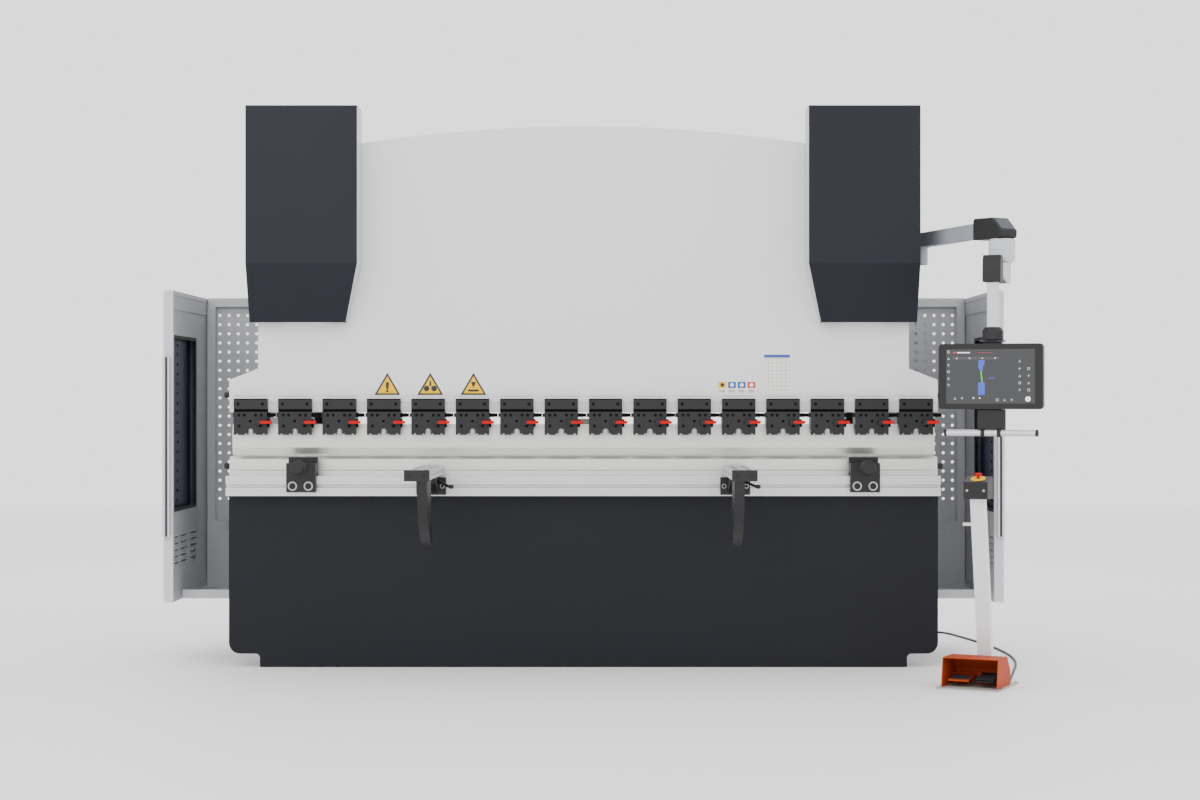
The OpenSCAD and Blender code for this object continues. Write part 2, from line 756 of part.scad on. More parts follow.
// Open at the back, with the gland of the pedal cable in its floor
module electrical_cabinet() {
    gland = cable_route[0];
    color("#b4b7ba") {
        difference() {
            union() {
                block([frame_x1, cab_y0, cab_z0], [cab_x1, cab_y1, cab_z1]);
                translate(gland) cylinder(r = 12, h = cab_z0 - gland[2] + 1);
            }
            block([frame_x1 + cab_wall, cab_y0 + cab_wall, cab_z0 + cab_wall],
                [cab_x1 - cab_wall, cab_y1 + over, cab_z1 - cab_wall]);
        }
        for (z = cab_hinge_zs) {
            translate([cab_hinge[0], cab_hinge[1], z - 20]) cylinder(r = 3, h = 40);
            translate([cab_hinge[0], cab_hinge[1], z - 20]) cylinder(r = cab_hinge_r, h = 20);
            block([cab_x1 - 1, cab_y1 - 4, z - 20], [cab_hinge[0], cab_y1, z]);
        }
    }
}

module cabinet_door() {
    lip = 20;
    edge = 2;
    y = cab_y1 + 1;
    inner = edge + cab_wall;
    color("#c5c7c8") difference() {
        union() {
            difference() {
                block([frame_x1 + edge, y, cab_z0 + edge], [cab_x1 - edge, y + lip, cab_z1 - edge]);
                block([frame_x1 + inner, y - over, cab_z0 + inner],
                    [cab_x1 - inner, y + lip - cab_wall, cab_z1 - inner]);
            }
            translate([frame_x1 + 50, y + lip - 1, (cab_z0 + cab_z1) / 2 - 40]) cube([22, 13, 80]);
            for (z = cab_hinge_zs) {
                translate([cab_hinge[0], cab_hinge[1], z + gap]) cylinder(r = cab_hinge_r, h = 20 - gap);
                block([cab_x1 - edge - 1, y + 1, z + gap], [cab_hinge[0], y + 5, z + 20]);
            }
        }
        for (z = cab_hinge_zs)
            translate([cab_hinge[0], cab_hinge[1], z - over]) cylinder(r = 3 + run_fit, h = 20 + 2 * over);
    }
}

// ---- Console ----

// Foot on the right side frame, an arm that passes behind the barrel, and the boom's pivot pin
module console_bracket() {
    y = mount_y + 5;
    z0 = boom_z - 70;
    z1 = boom_z - 40;
    color("#8b8f96") {
        block([frame_x1, y, boom_z - 120], [frame_x1 + 12, y + 140, boom_z + 30]);
        block([frame_x1, y, z0], [pivot[0] + 28, y + 60, z1]);
        block([pivot[0] - 28, pivot[1], z0], [pivot[0] + 28, y + 1, z1]);
        translate([pivot[0], pivot[1], boom_z - 75]) cylinder(r = 32, h = 75 - gap);
        translate([pivot[0], pivot[1], boom_z - 10]) cylinder(r = pin_r, h = boom_h - 4);
    }
}

// A bar of width w between two plan points
module plan_bar(a, b, w, z0, h) {
    d = b - a;
    translate([a[0], a[1], z0]) rotate([0, 0, atan2(d[1], d[0])])
        translate([0, -w / 2, 0]) cube([norm(d), w, h]);
}

module boom_arm() {
    elbow_z = boom_z - 10;
    color("#a9acb0") difference() {
        union() {
            translate([pivot[0], pivot[1], boom_z]) cylinder(r = 36, h = boom_h);
            plan_bar(pivot, elbow, boom_w, boom_z + 3, boom_h - 6);
            translate([elbow[0], elbow[1], elbow_z]) cylinder(r = 43, h = boom_h + 16);
            plan_bar(elbow, swivel, 66, elbow_z + 2, boom_h + 8);
            translate([swivel[0], swivel[1], elbow_z]) cylinder(r = 40, h = boom_h + 6);
        }
        translate([pivot[0], pivot[1], boom_z - over]) cylinder(r = pin_r + run_fit, h = boom_h - 4);
        translate([swivel[0], swivel[1], elbow_z - over]) cylinder(r = pin_r + run_fit, h = boom_h - 15);
    }
}

// Grey swivel under the elbow, with the fork that reaches to the stem
module swivel_head() {
    top = boom_z - 10 - gap;
    color("#d0d2d4") difference() {
        union() {
            translate([swivel[0], swivel[1], top - 103]) cylinder(r = 55.5, h = 103);
            translate([swivel[0], swivel[1], top - 1]) cylinder(r = pin_r, h = 50);
            plan_bar(swivel, stem, 70, top - 150, 66);
            translate([stem[0], stem[1], top - 180]) cylinder(r = 40, h = 110);
        }
        translate([stem[0], stem[1], top - 180 - over]) cylinder(r = pin_r + run_fit, h = 80);
    }
}

// Stem, flange and the bracket behind the screen
module pendant_tube() {
    top = boom_z - 190 - 2 * gap;
    color("#c5c7c8") translate([stem[0], stem[1], 0]) {
        translate([0, 0, top - 1]) cylinder(r = pin_r, h = 66);
        translate([0, 0, monitor_z + 205]) cylinder(r = stem_r, h = top - monitor_z - 205);
        translate([0, 0, monitor_z + 150]) cylinder(r = 46, h = 56);
        rotate([0, 0, monitor_yaw]) block([-38, -20, monitor_z - 215], [38, 12, monitor_z + 151]);
    }
}

module monitor() {
    color("#1c1c1e") translate([stem[0], stem[1], monitor_z]) rotate([0, 0, monitor_yaw])
        translate([0, -20, 0]) rotate([90, 0, 0]) linear_extrude(monitor_t)
            polygon(round_rect(monitor_w, monitor_h, 16));
}

// Round bar below the screen, on two short legs
module monitor_handle() {
    r = 13.5;
    len = 390;
    z = monitor_z - 235;
    color("#b9bcc0") translate([stem[0], stem[1], z]) rotate([0, 0, monitor_yaw]) {
        translate([-len / 2, -45, 0]) rotate([0, 90, 0]) cylinder(r = r, h = len);
        block([-30, -46, -8], [30, 12, 8]);
        block([-30, -20, -8], [30, 12, 20]);
    }
}

// ---- Pedal stand ----

module on_stand() translate([stand[0], stand[1], 0]) rotate([0, 0, stand_yaw]) children();

module pedal_base() {
    color("#b3b1ab") on_stand() difference() {
        translate([0, 32, 0]) linear_extrude(base_t) polygon(round_rect(hood_w + 32, hood_d + 120, 12));
        for (x = [-1, 1], y = [-50, 180])
            translate([x * (hood_w / 2 + 6), y, -over]) cylinder(r = 4.5, h = base_t + 2 * over);
    }
}

// Side view of the hood, drawn in by t: open at the front, chamfered at the rear
function hood_side(t) = [
    [-hood_d / 2 - t, base_t - t], [hood_d / 2 - t, base_t - t], [hood_d / 2 - t, hood_h / 2],
    [hood_d / 2 - 50 - t / 2, hood_h - t], [20 - hood_d / 2 - t, hood_h - t]];

// A rod along X across the pedals' hinge line
module hinge_rod(x0, x1, r)
    translate([x0, pedal_hinge_y, pedal_hinge_z]) rotate([0, 90, 0]) cylinder(r = r, h = x1 - x0);

// Hood with the hinge rod of the pedals, its middle post and the cable gland
module pedal_hood() {
    post = pedal_x - pedal_w / 2 - 1;
    color("#bb5a2e") on_stand() {
        difference() {
            side_plate(-hood_w / 2, hood_w) polygon(hood_side(0));
            side_plate(hood_t - hood_w / 2, hood_w - 2 * hood_t) polygon(hood_side(hood_t));
        }
        hinge_rod(1 - hood_w / 2, hood_w / 2 - 1, pedal_pin_r);
        block([-post, pedal_hinge_y - 8, base_t], [post, pedal_hinge_y + 12, pedal_hinge_z + 8]);
        rod_y(hood_w / 2 - 34, 30, 11, hood_d / 2 - 1, hood_d / 2 + 16);
    }
}

// A treadle plate on a tube that turns on the hinge rod
module pedal(s) {
    x0 = s * pedal_x - pedal_w / 2;
    color(s < 0 ? "#bb5a2e" : "#23252f") on_stand() difference() {
        union() {
            hinge_rod(x0, x0 + pedal_w, 8);
            translate([0, pedal_hinge_y, pedal_hinge_z]) side_plate(x0, pedal_w) polygon([
                [0, -5], [0, 5], [-110, -4], [-140, -10], [-140, -16], [-108, -11]]);
        }
        hinge_rod(x0 - over, x0 + pedal_w + over, pedal_pin_r + run_fit);
    }
}

// Leaning tube with its foot plate and a peg on its side
module pedal_column() {
    y = post_foot_y;
    peg = 0.86;
    color("#e4e5e6") on_stand() {
        side_plate(-post_w / 2, post_w) polygon([
            [y, base_t], [y + post_d, base_t], [y + post_d - post_lean, head_z], [y - post_lean, head_z]]);
        translate([0, y + 20, base_t]) linear_extrude(8) polygon(round_rect(96, 84, 8));
        translate([-post_w / 2 - 40, y - post_lean * peg + post_d / 2, base_t + post_h * peg])
            rotate([0, 90, 0]) cylinder(r = 7, h = 42);
    }
}

// Control box on the column with its sloping top
module pedal_head() {
    y = post_foot_y - post_lean + post_d / 2;
    color("#2a2b2e") on_stand() difference() {
        side_plate(-52, 104) polygon([
            [y - 42, head_z], [y + 42, head_z], [y + 42, head_z + 84], [y + 30, head_z + 94],
            [y - 42, head_z + 72]]);
        translate([0, y, head_z + 40]) cylinder(r = 6 + run_fit, h = 80);
    }
}

module estop_button() {
    y = post_foot_y - post_lean + post_d / 2;
    color("#cf2a24") on_stand() translate([0, y, head_z + 46]) rotate_extrude() polygon(concat(
        [[0, 0], [6, 0], [6, 50], [14, 50]], arc([12, 58], 5, -30, 60, 4), [[0, 65]]));
}

// Rings of the cable tube, carried along a smooth curve through the route
function spline(p, i, t) =
    let (a = p[max(i - 1, 0)], b = p[i], c = p[i + 1], d = p[min(i + 2, len(p) - 1)])
    0.5 * (2 * b + (c - a) * t + (2 * a - 5 * b + 4 * c - d) * t * t + (3 * b - a - 3 * c + d) * t * t * t);

module pedal_cable() {
    steps = 3;
    sides = 8;
    last = len(cable_route) - 1;
    path = concat(
        [for (i = [0:last - 1], k = [0:steps - 1]) let (p = spline(cable_route, i, k / steps))
            [p.x, p.y, max(p.z, cable_d / 2)]],
        [cable_route[last]]);
    n = len(path);
    dirs = [for (i = [0:n - 1]) let (d = path[min(i + 1, n - 1)] - path[max(i - 1, 0)]) d / norm(d)];
    side_of = [for (d = dirs) let (c = cross(d, [0.3, 0.2, 1])) c / norm(c)];
    points = [for (i = [0:n - 1], k = [0:sides - 1])
        let (a = 360 * k / sides, u = side_of[i], v = cross(u, dirs[i]))
        path[i] + cable_d / 2 * (cos(a) * u + sin(a) * v)];
    faces = concat(
        [[for (k = [0:sides - 1]) k]],
        [for (i = [0:n - 2], k = [0:sides - 1]) let (j = (k + 1) % sides)
            [i * sides + k, (i + 1) * sides + k, (i + 1) * sides + j, i * sides + j]],
        [[for (k = [sides - 1:-1:0]) (n - 1) * sides + k]]);
    color("#1c1c1e") polyhedron(points, faces);
}

// ---- Back gauge ----

module gauge_rails() {
    color("#9a9da3") on_both_sides() difference() {
        block([gauge_rail_x - 30, half_t, gauge_z - 90], [gauge_rail_x + 30, gauge_back, gauge_z]);
        for (m = [-1, 1]) block([gauge_rail_x + m * 30 - 8, half_t - over, gauge_z - 28],
            [gauge_rail_x + m * 30 + 8, gauge_back + over, gauge_z - 12]);
    }
}

module gauge_beam() {
    color("#c4c5c6") union() {
        block([-1150, beam_y, beam_z], [1150, beam_y + 100, beam_z + 96]);
        on_both_sides() block([gauge_rail_x - 42, beam_y - 20, gauge_z + gap],
            [gauge_rail_x + 42, beam_y + 120, beam_z + 1]);
    }
}

// Three gauge fingers with stepped tips
module gauge_fingers() {
    z = beam_z + 96 + gap;
    tip = half_t + 50;
    color("#1c1c1e") for (x = [-700, 0, 700]) side_plate(x - 25, 50) polygon([
        [beam_y + 90, z], [beam_y + 90, z + 62], [beam_y - 40, z + 62], [beam_y - 90, z + 44],
        [tip + 24, z + 44], [tip + 24, z + 34], [tip, z + 34], [tip, z + 20],
        [beam_y - 60, z + 12], [beam_y, z]]);
}

side_frame(-1);  // side_frame_left
side_frame(1);  // side_frame_right
bed();
cross_ties();
oil_tank();
tank_lid();
pump_motor();
valve_blocks();
hydraulic_pipes();
cylinder_barrels();
cover(-1);  // cover_left
cover(1);  // cover_right
ram_gibs();
die_holder();
die();
arm_rail();
guard_screen(-1);  // guard_screen_left
guard_screen(1);  // guard_screen_right
guard_tray(-1);  // guard_tray_left
guard_tray(1);  // guard_tray_right
electrical_cabinet();
cabinet_door();
console_bracket();
boom_arm();
swivel_head();
pendant_tube();
monitor();
monitor_handle();
pedal_base();
pedal_hood();
pedal(-1);  // pedal_left
pedal(1);  // pedal_right
pedal_column();
pedal_head();
estop_button();
pedal_cable();
gauge_rails();
gauge_beam();
gauge_fingers();
ram();
piston_rods();
clamp_blocks();
clamp_plates();
clamp_levers();
punch();
end_knobs();
guard_door(-1);  // guard_door_left
guard_door(1);  // guard_door_right
window(-1);  // window_left
window(1);  // window_right
handle(-1);  // handle_left
handle(1);  // handle_right
arm_profile(-1);  // arm_profile_left
arm_profile(1);  // arm_profile_right
arm_bracket(-1);  // arm_bracket_left
arm_bracket(1);  // arm_bracket_right
stop(-1);  // stop_left
stop(1);  // stop_right
stop_knob(-1);  // stop_knob_left
stop_knob(1);  // stop_knob_right
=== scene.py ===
import math

import bmesh
import bpy
from mathutils import Matrix, Vector


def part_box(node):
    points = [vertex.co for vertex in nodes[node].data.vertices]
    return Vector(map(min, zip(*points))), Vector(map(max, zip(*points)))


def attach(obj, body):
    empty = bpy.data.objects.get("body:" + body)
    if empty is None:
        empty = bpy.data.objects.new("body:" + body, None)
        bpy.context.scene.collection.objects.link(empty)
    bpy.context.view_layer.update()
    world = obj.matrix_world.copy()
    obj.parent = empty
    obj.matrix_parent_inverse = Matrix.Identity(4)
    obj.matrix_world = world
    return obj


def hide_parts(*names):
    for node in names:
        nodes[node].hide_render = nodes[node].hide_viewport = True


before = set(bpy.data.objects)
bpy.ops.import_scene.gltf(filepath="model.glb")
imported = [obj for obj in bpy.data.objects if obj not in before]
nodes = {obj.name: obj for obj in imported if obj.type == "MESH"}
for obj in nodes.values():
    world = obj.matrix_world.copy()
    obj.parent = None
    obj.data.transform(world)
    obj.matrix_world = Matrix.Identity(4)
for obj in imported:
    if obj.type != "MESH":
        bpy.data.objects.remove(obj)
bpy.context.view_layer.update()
print("stage: frame loaded")

mm = 0.001
left, right = -1, 1
sideName = {left: "left", right: "right"}


# camera

cameraSet = {"place": (0.1356, -10.04, 1.207), "lens": 66.4, "shift": -0.01125}

def setCamera():
    data = bpy.data.cameras.new("camera")
    data.lens, data.shift_x = cameraSet["lens"], cameraSet["shift"]
    data.clip_end = 100
    camera = bpy.data.objects.new("camera", data)
    camera.location = cameraSet["place"]
    camera.rotation_euler = (math.radians(90), 0, 0)
    bpy.context.collection.objects.link(camera)
    bpy.context.scene.camera = camera


setCamera()


# shared tools

def linear(hexColour):
    parts = [int(hexColour[i:i + 2], 16) / 255 for i in (1, 3, 5)]
    return tuple(c / 12.92 if c <= 0.04045 else ((c + 0.055) / 1.055) ** 2.4 for c in parts) + (1.0,)


def addNode(tree, kind, values=None, links=None, **settings):
    node = tree.nodes.new(kind)
    for name, value in settings.items():
        setattr(node, name, value)
    for name, value in (values or {}).items():
        node.inputs[name].default_value = value
    for name, source in (links or {}).items():
        tree.links.new(source, node.inputs[name])
    return node


def finishPiece(name, mesh, material, body, bevel=0.0, segments=2, smooth=False):
    # one finished mesh: its material, a small rounded edge, and the body that it rides on
    obj = bpy.data.objects.new(name, mesh)
    bpy.context.collection.objects.link(obj)
    mesh.materials.clear()
    mesh.materials.append(material)
    if smooth:
        mesh.shade_smooth()
        mesh.set_sharp_from_angle(angle=math.radians(34))
    if bevel:
        softenEdges(obj, bevel, segments)
    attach(obj, body)
    return obj


def softenEdges(obj, width, segments=2):
    modifier = obj.modifiers.new("edges", "BEVEL")
    modifier.width, modifier.segments = width, segments
    modifier.limit_method, modifier.angle_limit = "ANGLE", math.radians(32)
    modifier.harden_normals = False


def toMesh(bm, name):
    bmesh.ops.recalc_face_normals(bm, faces=bm.faces)
    mesh = bpy.data.meshes.new(name)
    bm.to_mesh(mesh)
    bm.free()
    return mesh


def addBox(bm, low, high, place=Matrix()):
    corners = [[(low, high)[i >> a & 1][a] for a in range(3)] for i in range(8)]
    verts = [bm.verts.new(place @ Vector(c)) for c in corners]
    for quad in ((0, 1, 3, 2), (4, 6, 7, 5), (0, 4, 5, 1), (2, 3, 7, 6), (0, 2, 6, 4), (1, 5, 7, 3)):
        bm.faces.new([verts[i] for i in quad])


def addPrism(bm, outline, depth, place=Matrix()):
    # an outline in the XY plane, drawn up along Z
    low = [bm.verts.new(place @ Vector((x, y, 0))) for x, y in outline]
    high = [bm.verts.new(place @ Vector((x, y, depth))) for x, y in outline]
    bm.faces.new(low[::-1])
    bm.faces.new(high)
    for i in range(len(outline)):
        j = (i + 1) % len(outline)
        bm.faces.new((low[i], low[j], high[j], high[i]))


def addLathe(bm, profile, place=Matrix(), steps=32):
    # a profile of (radius, height) turned about Z; a radius of 0 closes it
    rings = []
    for r, z in profile:
        if r < 1e-6:
            rings.append([bm.verts.new(place @ Vector((0, 0, z)))])
        else:
            turns = [2 * math.pi * k / steps for k in range(steps)]
            rings.append([bm.verts.new(place @ Vector((r * math.cos(a), r * math.sin(a), z)))
                          for a in turns])
    for low, high in zip(rings, rings[1:]):
        for k in range(steps):
            j = (k + 1) % steps
            quad = [low[k % len(low)], low[j % len(low)], high[j % len(high)], high[k % len(high)]]
            corners = list(dict.fromkeys(quad))
            if len(corners) > 2:
                bm.faces.new(corners)


def addTube(bm, path, radius, steps=12):
    # a round bar along a path, with closed ends
    rings = []
    for i, p in enumerate(path):
        ahead = (path[min(i + 1, len(path) - 1)] - path[max(i - 1, 0)]).normalized()
        across = ahead.cross(Vector((0.31, 0.17, 0.93))).normalized()
        up = across.cross(ahead)
        turns = [2 * math.pi * k / steps for k in range(steps)]
        rings.append([bm.verts.new(p + radius * (math.cos(a) * across + math.sin(a) * up)) for a in turns])
    for low, high in zip(rings, rings[1:]):
        for k in range(steps):
            j = (k + 1) % steps
            bm.faces.new((low[k], low[j], high[j], high[k]))
    bm.faces.new(rings[0][::-1])
    bm.faces.new(rings[-1])


def roundRect(width, height, radius, centre=(0, 0), steps=5):
    points = []
    for quarter, (sx, sy) in enumerate(((1, 1), (-1, 1), (-1, -1), (1, -1))):
        for k in range(steps + 1):
            a = math.radians(90 * (quarter + k / steps))
            points.append((centre[0] + sx * (width / 2 - radius) + radius * math.cos(a),
                           centre[1] + sy * (height / 2 - radius) + radius * math.sin(a)))
    return points


def circle(x, y, r, steps=14):
    return [(x + r * math.cos(2 * math.pi * k / steps), y + r * math.sin(2 * math.pi * k / steps))
            for k in range(steps)]


def rectangle(x0, y0, x1, y1):
    return [(x0, y0), (x1, y0), (x1, y1), (x0, y1)]


def sheetMesh(name, outer, holes, thickness, place):
    # a flat sheet with real holes, from the filled outline of a curve
    curve = bpy.data.curves.new(name, "CURVE")
    curve.dimensions, curve.fill_mode, curve.extrude = "2D", "BOTH", thickness / 2
    for outline in [outer] + holes:
        spline = curve.splines.new("POLY")
        spline.points.add(len(outline) - 1)
        for point, (x, y) in zip(spline.points, outline):
            point.co = (x, y, 0, 1)
        spline.use_cyclic_u = True
    holder = bpy.data.objects.new(name, curve)
    bpy.context.collection.objects.link(holder)
    bpy.context.view_layer.update()
    mesh = bpy.data.meshes.new_from_object(holder.evaluated_get(bpy.context.evaluated_depsgraph_get()))
    bpy.data.objects.remove(holder)
    bpy.data.curves.remove(curve)
    bm = bmesh.new()
    bm.from_mesh(mesh)
    bpy.data.meshes.remove(mesh)
    bmesh.ops.remove_doubles(bm, verts=bm.verts, dist=1e-6)
    bm.transform(place)
    return toMesh(bm, name)


def turned(place, axis, degrees=90):
    return Matrix.Translation(place) @ Matrix.Rotation(math.radians(degrees), 4, axis)


def facingFront(x, y, z):
    # a frame whose Z points at the operator and whose Y points up
    return Matrix.Translation((x, y, z)) @ Matrix.Rotation(math.radians(90), 4, "X")


def facingSide(x, y, z, side):
    # a frame whose X runs back, whose Y points up and whose Z points along X
    return Matrix.Translation((x, y, z)) @ Matrix(((0, 0, side, 0), (1, 0, 0, 0), (0, 1, 0, 0),
                                                   (0, 0, 0, 1)))


def yawed(point, yaw, z=0):
    # a frame over a plan point in millimetres, turned about the vertical; z is in metres
    base = Matrix.Translation((point[0] * mm, point[1] * mm, z))
    return base @ Matrix.Rotation(math.radians(yaw), 4, "Z")


# finishes

def newFinish(name):
    material = bpy.data.materials.new(name)
    material.use_nodes = True
    tree = material.node_tree
    tree.nodes.clear()
    out = addNode(tree, "ShaderNodeOutputMaterial")
    shader = addNode(tree, "ShaderNodeBsdfPrincipled")
    tree.links.new(shader.outputs["BSDF"], out.inputs["Surface"])
    return material, tree, shader


def perMetre(sizeMm):
    # a noise's scale from the size of its grain in millimetres
    return 1000 / sizeMm


def tintAndDull(tree, shader, look, factor, rough):
    # colour and roughness that wander together between their two values
    tint = addNode(tree, "ShaderNodeMix", {"A": linear(look["colour"]), "B": linear(look["shade"])},
                   {"Factor": factor}, data_type="RGBA")
    tree.links.new(tint.outputs["Result"], shader.inputs["Base Color"])
    dull = addNode(tree, "ShaderNodeMapRange", {"To Min": rough[0], "To Max": rough[1]}, {"Value": factor})
    tree.links.new(dull.outputs["Result"], shader.inputs["Roughness"])


def raiseGrain(tree, shader, strength, distance, height):
    bump = addNode(tree, "ShaderNodeBump", {"Strength": strength, "Distance": distance}, {"Height": height})
    tree.links.new(bump.outputs["Normal"], shader.inputs["Normal"])


def paintedSteel(name, paint):
    # stoved paint on sheet and plate: even colour, faint orange peel, a little dulling in broad patches
    material, tree, shader = newFinish(name)
    shader.inputs["Metallic"].default_value = 0.0
    shader.inputs["Coat Weight"].default_value = paint["coat"]
    shader.inputs["Coat Roughness"].default_value = 0.18
    shader.inputs["Specular IOR Level"].default_value = paint.get("specular", 0.5)
    place = addNode(tree, "ShaderNodeTexCoord")
    patch = addNode(tree, "ShaderNodeTexNoise", {"Scale": perMetre(paint["patch"]), "Detail": 3.0},
                    {"Vector": place.outputs["Object"]})
    tintAndDull(tree, shader, paint, patch.outputs["Fac"], paint["rough"])
    peel = addNode(tree, "ShaderNodeTexNoise", {"Scale": perMetre(paint["peel"]), "Detail": 2.0},
                   {"Vector": place.outputs["Object"]})
    raiseGrain(tree, shader, paint["bump"], 0.0004, peel.outputs["Fac"])
    return material


def machinedMetal(name, metal):
    # ground, brushed or drawn metal: fine lines along one axis, slightly uneven gloss
    material, tree, shader = newFinish(name)
    shader.inputs["Metallic"].default_value = metal["metallic"]
    place = addNode(tree, "ShaderNodeTexCoord")
    stretch = addNode(tree, "ShaderNodeMapping", {"Scale": metal["stretch"]},
                      {"Vector": place.outputs["Object"]})
    lines = addNode(tree, "ShaderNodeTexNoise", {"Scale": perMetre(metal["grain"]), "Detail": 4.0,
                                                 "Roughness": 0.6}, {"Vector": stretch.outputs["Vector"]})
    tintAndDull(tree, shader, metal, lines.outputs["Fac"], metal["rough"])
    raiseGrain(tree, shader, metal["bump"], 0.0003, lines.outputs["Fac"])
    return material


def mouldedPlastic(name, plastic):
    # moulded plastic or rubber: one colour through, a fine spark-eroded grain, duller where the grain is deep
    material, tree, shader = newFinish(name)
    shader.inputs["IOR"].default_value = plastic["ior"]
    place = addNode(tree, "ShaderNodeTexCoord")
    grain = addNode(tree, "ShaderNodeTexVoronoi", {"Scale": perMetre(plastic["grain"])},
                    {"Vector": place.outputs["Object"]})
    cloud = addNode(tree, "ShaderNodeTexNoise", {"Scale": perMetre(60), "Detail": 2.0},
                    {"Vector": place.outputs["Object"]})
    tintAndDull(tree, shader, plastic, cloud.outputs["Fac"], plastic["rough"])
    raiseGrain(tree, shader, plastic["bump"], 0.0002, grain.outputs["Distance"])
    return material


def tintedAcrylic(name, pane):
    # deep blue smoked acrylic: satin, opaque, faint waviness from casting
    material, tree, shader = newFinish(name)
    shader.inputs["IOR"].default_value = 1.49
    shader.inputs["Specular IOR Level"].default_value = 0.22
    place = addNode(tree, "ShaderNodeTexCoord")
    wave = addNode(tree, "ShaderNodeTexNoise", {"Scale": perMetre(180), "Detail": 1.0},
                   {"Vector": place.outputs["Object"]})
    tintAndDull(tree, shader, pane, wave.outputs["Fac"], (0.3, 0.38))
    return material


def litDisplay(name, display):
    # an image on a screen: gives off a little of its own colour, behind smooth glass
    material, tree, shader = newFinish(name)
    shader.inputs["Roughness"].default_value = 0.25
    shader.inputs["Emission Strength"].default_value = display["glow"]
    place = addNode(tree, "ShaderNodeTexCoord")
    dots = addNode(tree, "ShaderNodeTexNoise", {"Scale": perMetre(4), "Detail": 0.0},
                   {"Vector": place.outputs["Object"]})
    tint = addNode(tree, "ShaderNodeMix", {"A": linear(display["colour"]), "B": linear(display["shade"])},
                   {"Factor": dots.outputs["Fac"]}, data_type="RGBA")
    tree.links.new(tint.outputs["Result"], shader.inputs["Base Color"])
    tree.links.new(tint.outputs["Result"], shader.inputs["Emission Color"])
    return material


paints = {
    # dark navy machine enamel, satin, on the frames and the bed
    "navyEnamel": {"colour": "#101119", "shade": "#0e0f16", "rough": (0.42, 0.52), "coat": 0.0,
                   "specular": 0.22, "patch": 900, "peel": 2.5, "bump": 0.05},
    # the same enamel a shade lighter on the folded cylinder covers: painted light, a lit copy of the frame
    # enamel
    "litCoverEnamel": {"colour": "#131521", "shade": "#11131d", "rough": (0.38, 0.48), "coat": 0.0,
                    "specular": 0.25, "patch": 900, "peel": 2.5, "bump": 0.05},
    # white gloss machine enamel on the ram
    "whiteEnamel": {"colour": "#dfdfdf", "shade": "#d9d9da", "rough": (0.26, 0.36), "coat": 0.25,
                    "patch": 1200, "peel": 2.5, "bump": 0.04},
    # light grey powder coat on sheet metal, fine texture
    "lightPowder": {"colour": "#c6c7cb", "shade": "#bcbec3", "rough": (0.42, 0.52), "coat": 0.0,
                    "patch": 400, "peel": 1.6, "bump": 0.12},
    # mid grey powder coat, fine texture
    "greyPowder": {"colour": "#9a9ea6", "shade": "#8f939c", "rough": (0.42, 0.55), "coat": 0.0,
                   "patch": 400, "peel": 1.6, "bump": 0.12},
    # dark slate powder coat, fine texture
    "darkPowder": {"colour": "#3d434f", "shade": "#353a45", "rough": (0.4, 0.52), "coat": 0.0,
                   "patch": 300, "peel": 1.6, "bump": 0.15},
    # safety orange enamel, matt, on the foot switch
    "orangeEnamel": {"colour": "#a83c08", "shade": "#9c3908", "rough": (0.5, 0.6), "coat": 0.0,
                     "specular": 0.15, "patch": 150, "peel": 2.0, "bump": 0.08},
    # hammered grey paint on a cast base
    "hammeredGrey": {"colour": "#aeaca6", "shade": "#9d9b95", "rough": (0.38, 0.5), "coat": 0.1,
                     "patch": 60, "peel": 5.0, "bump": 0.35},
    # printed vinyl label stock, satin, in yellow, white, blue and red
    "labelYellow": {"colour": "#f2be06", "shade": "#e8b304", "rough": (0.5, 0.6), "coat": 0.0,
                    "specular": 0.15, "patch": 80, "peel": 1.5, "bump": 0.02},
    "labelWhite": {"colour": "#e9e9e6", "shade": "#dcdcd8", "rough": (0.4, 0.5), "coat": 0.1,
                   "patch": 80, "peel": 1.5, "bump": 0.02},
    "labelBlue": {"colour": "#2f4fa8", "shade": "#29468f", "rough": (0.4, 0.5), "coat": 0.1,
                  "patch": 80, "peel": 1.5, "bump": 0.02},
    "labelRed": {"colour": "#c23a33", "shade": "#b2322c", "rough": (0.4, 0.5), "coat": 0.1,
                 "patch": 80, "peel": 1.5, "bump": 0.02},
    # matt black darker than the parts' own black: painted shade standing in for the shade in recesses, on the
    # recessed clamp screws, the strips along the block tops and the packing
    "paintedShadowBlack": {"colour": "#040405", "shade": "#070708", "rough": (0.7, 0.8), "coat": 0.0,
                    "specular": 0.08, "patch": 60, "peel": 1.5, "bump": 0.02},
    # black screen-printing ink, satin
    "inkBlack": {"colour": "#17171a", "shade": "#1f1f22", "rough": (0.45, 0.6), "coat": 0.0,
                 "patch": 60, "peel": 1.5, "bump": 0.02},
}
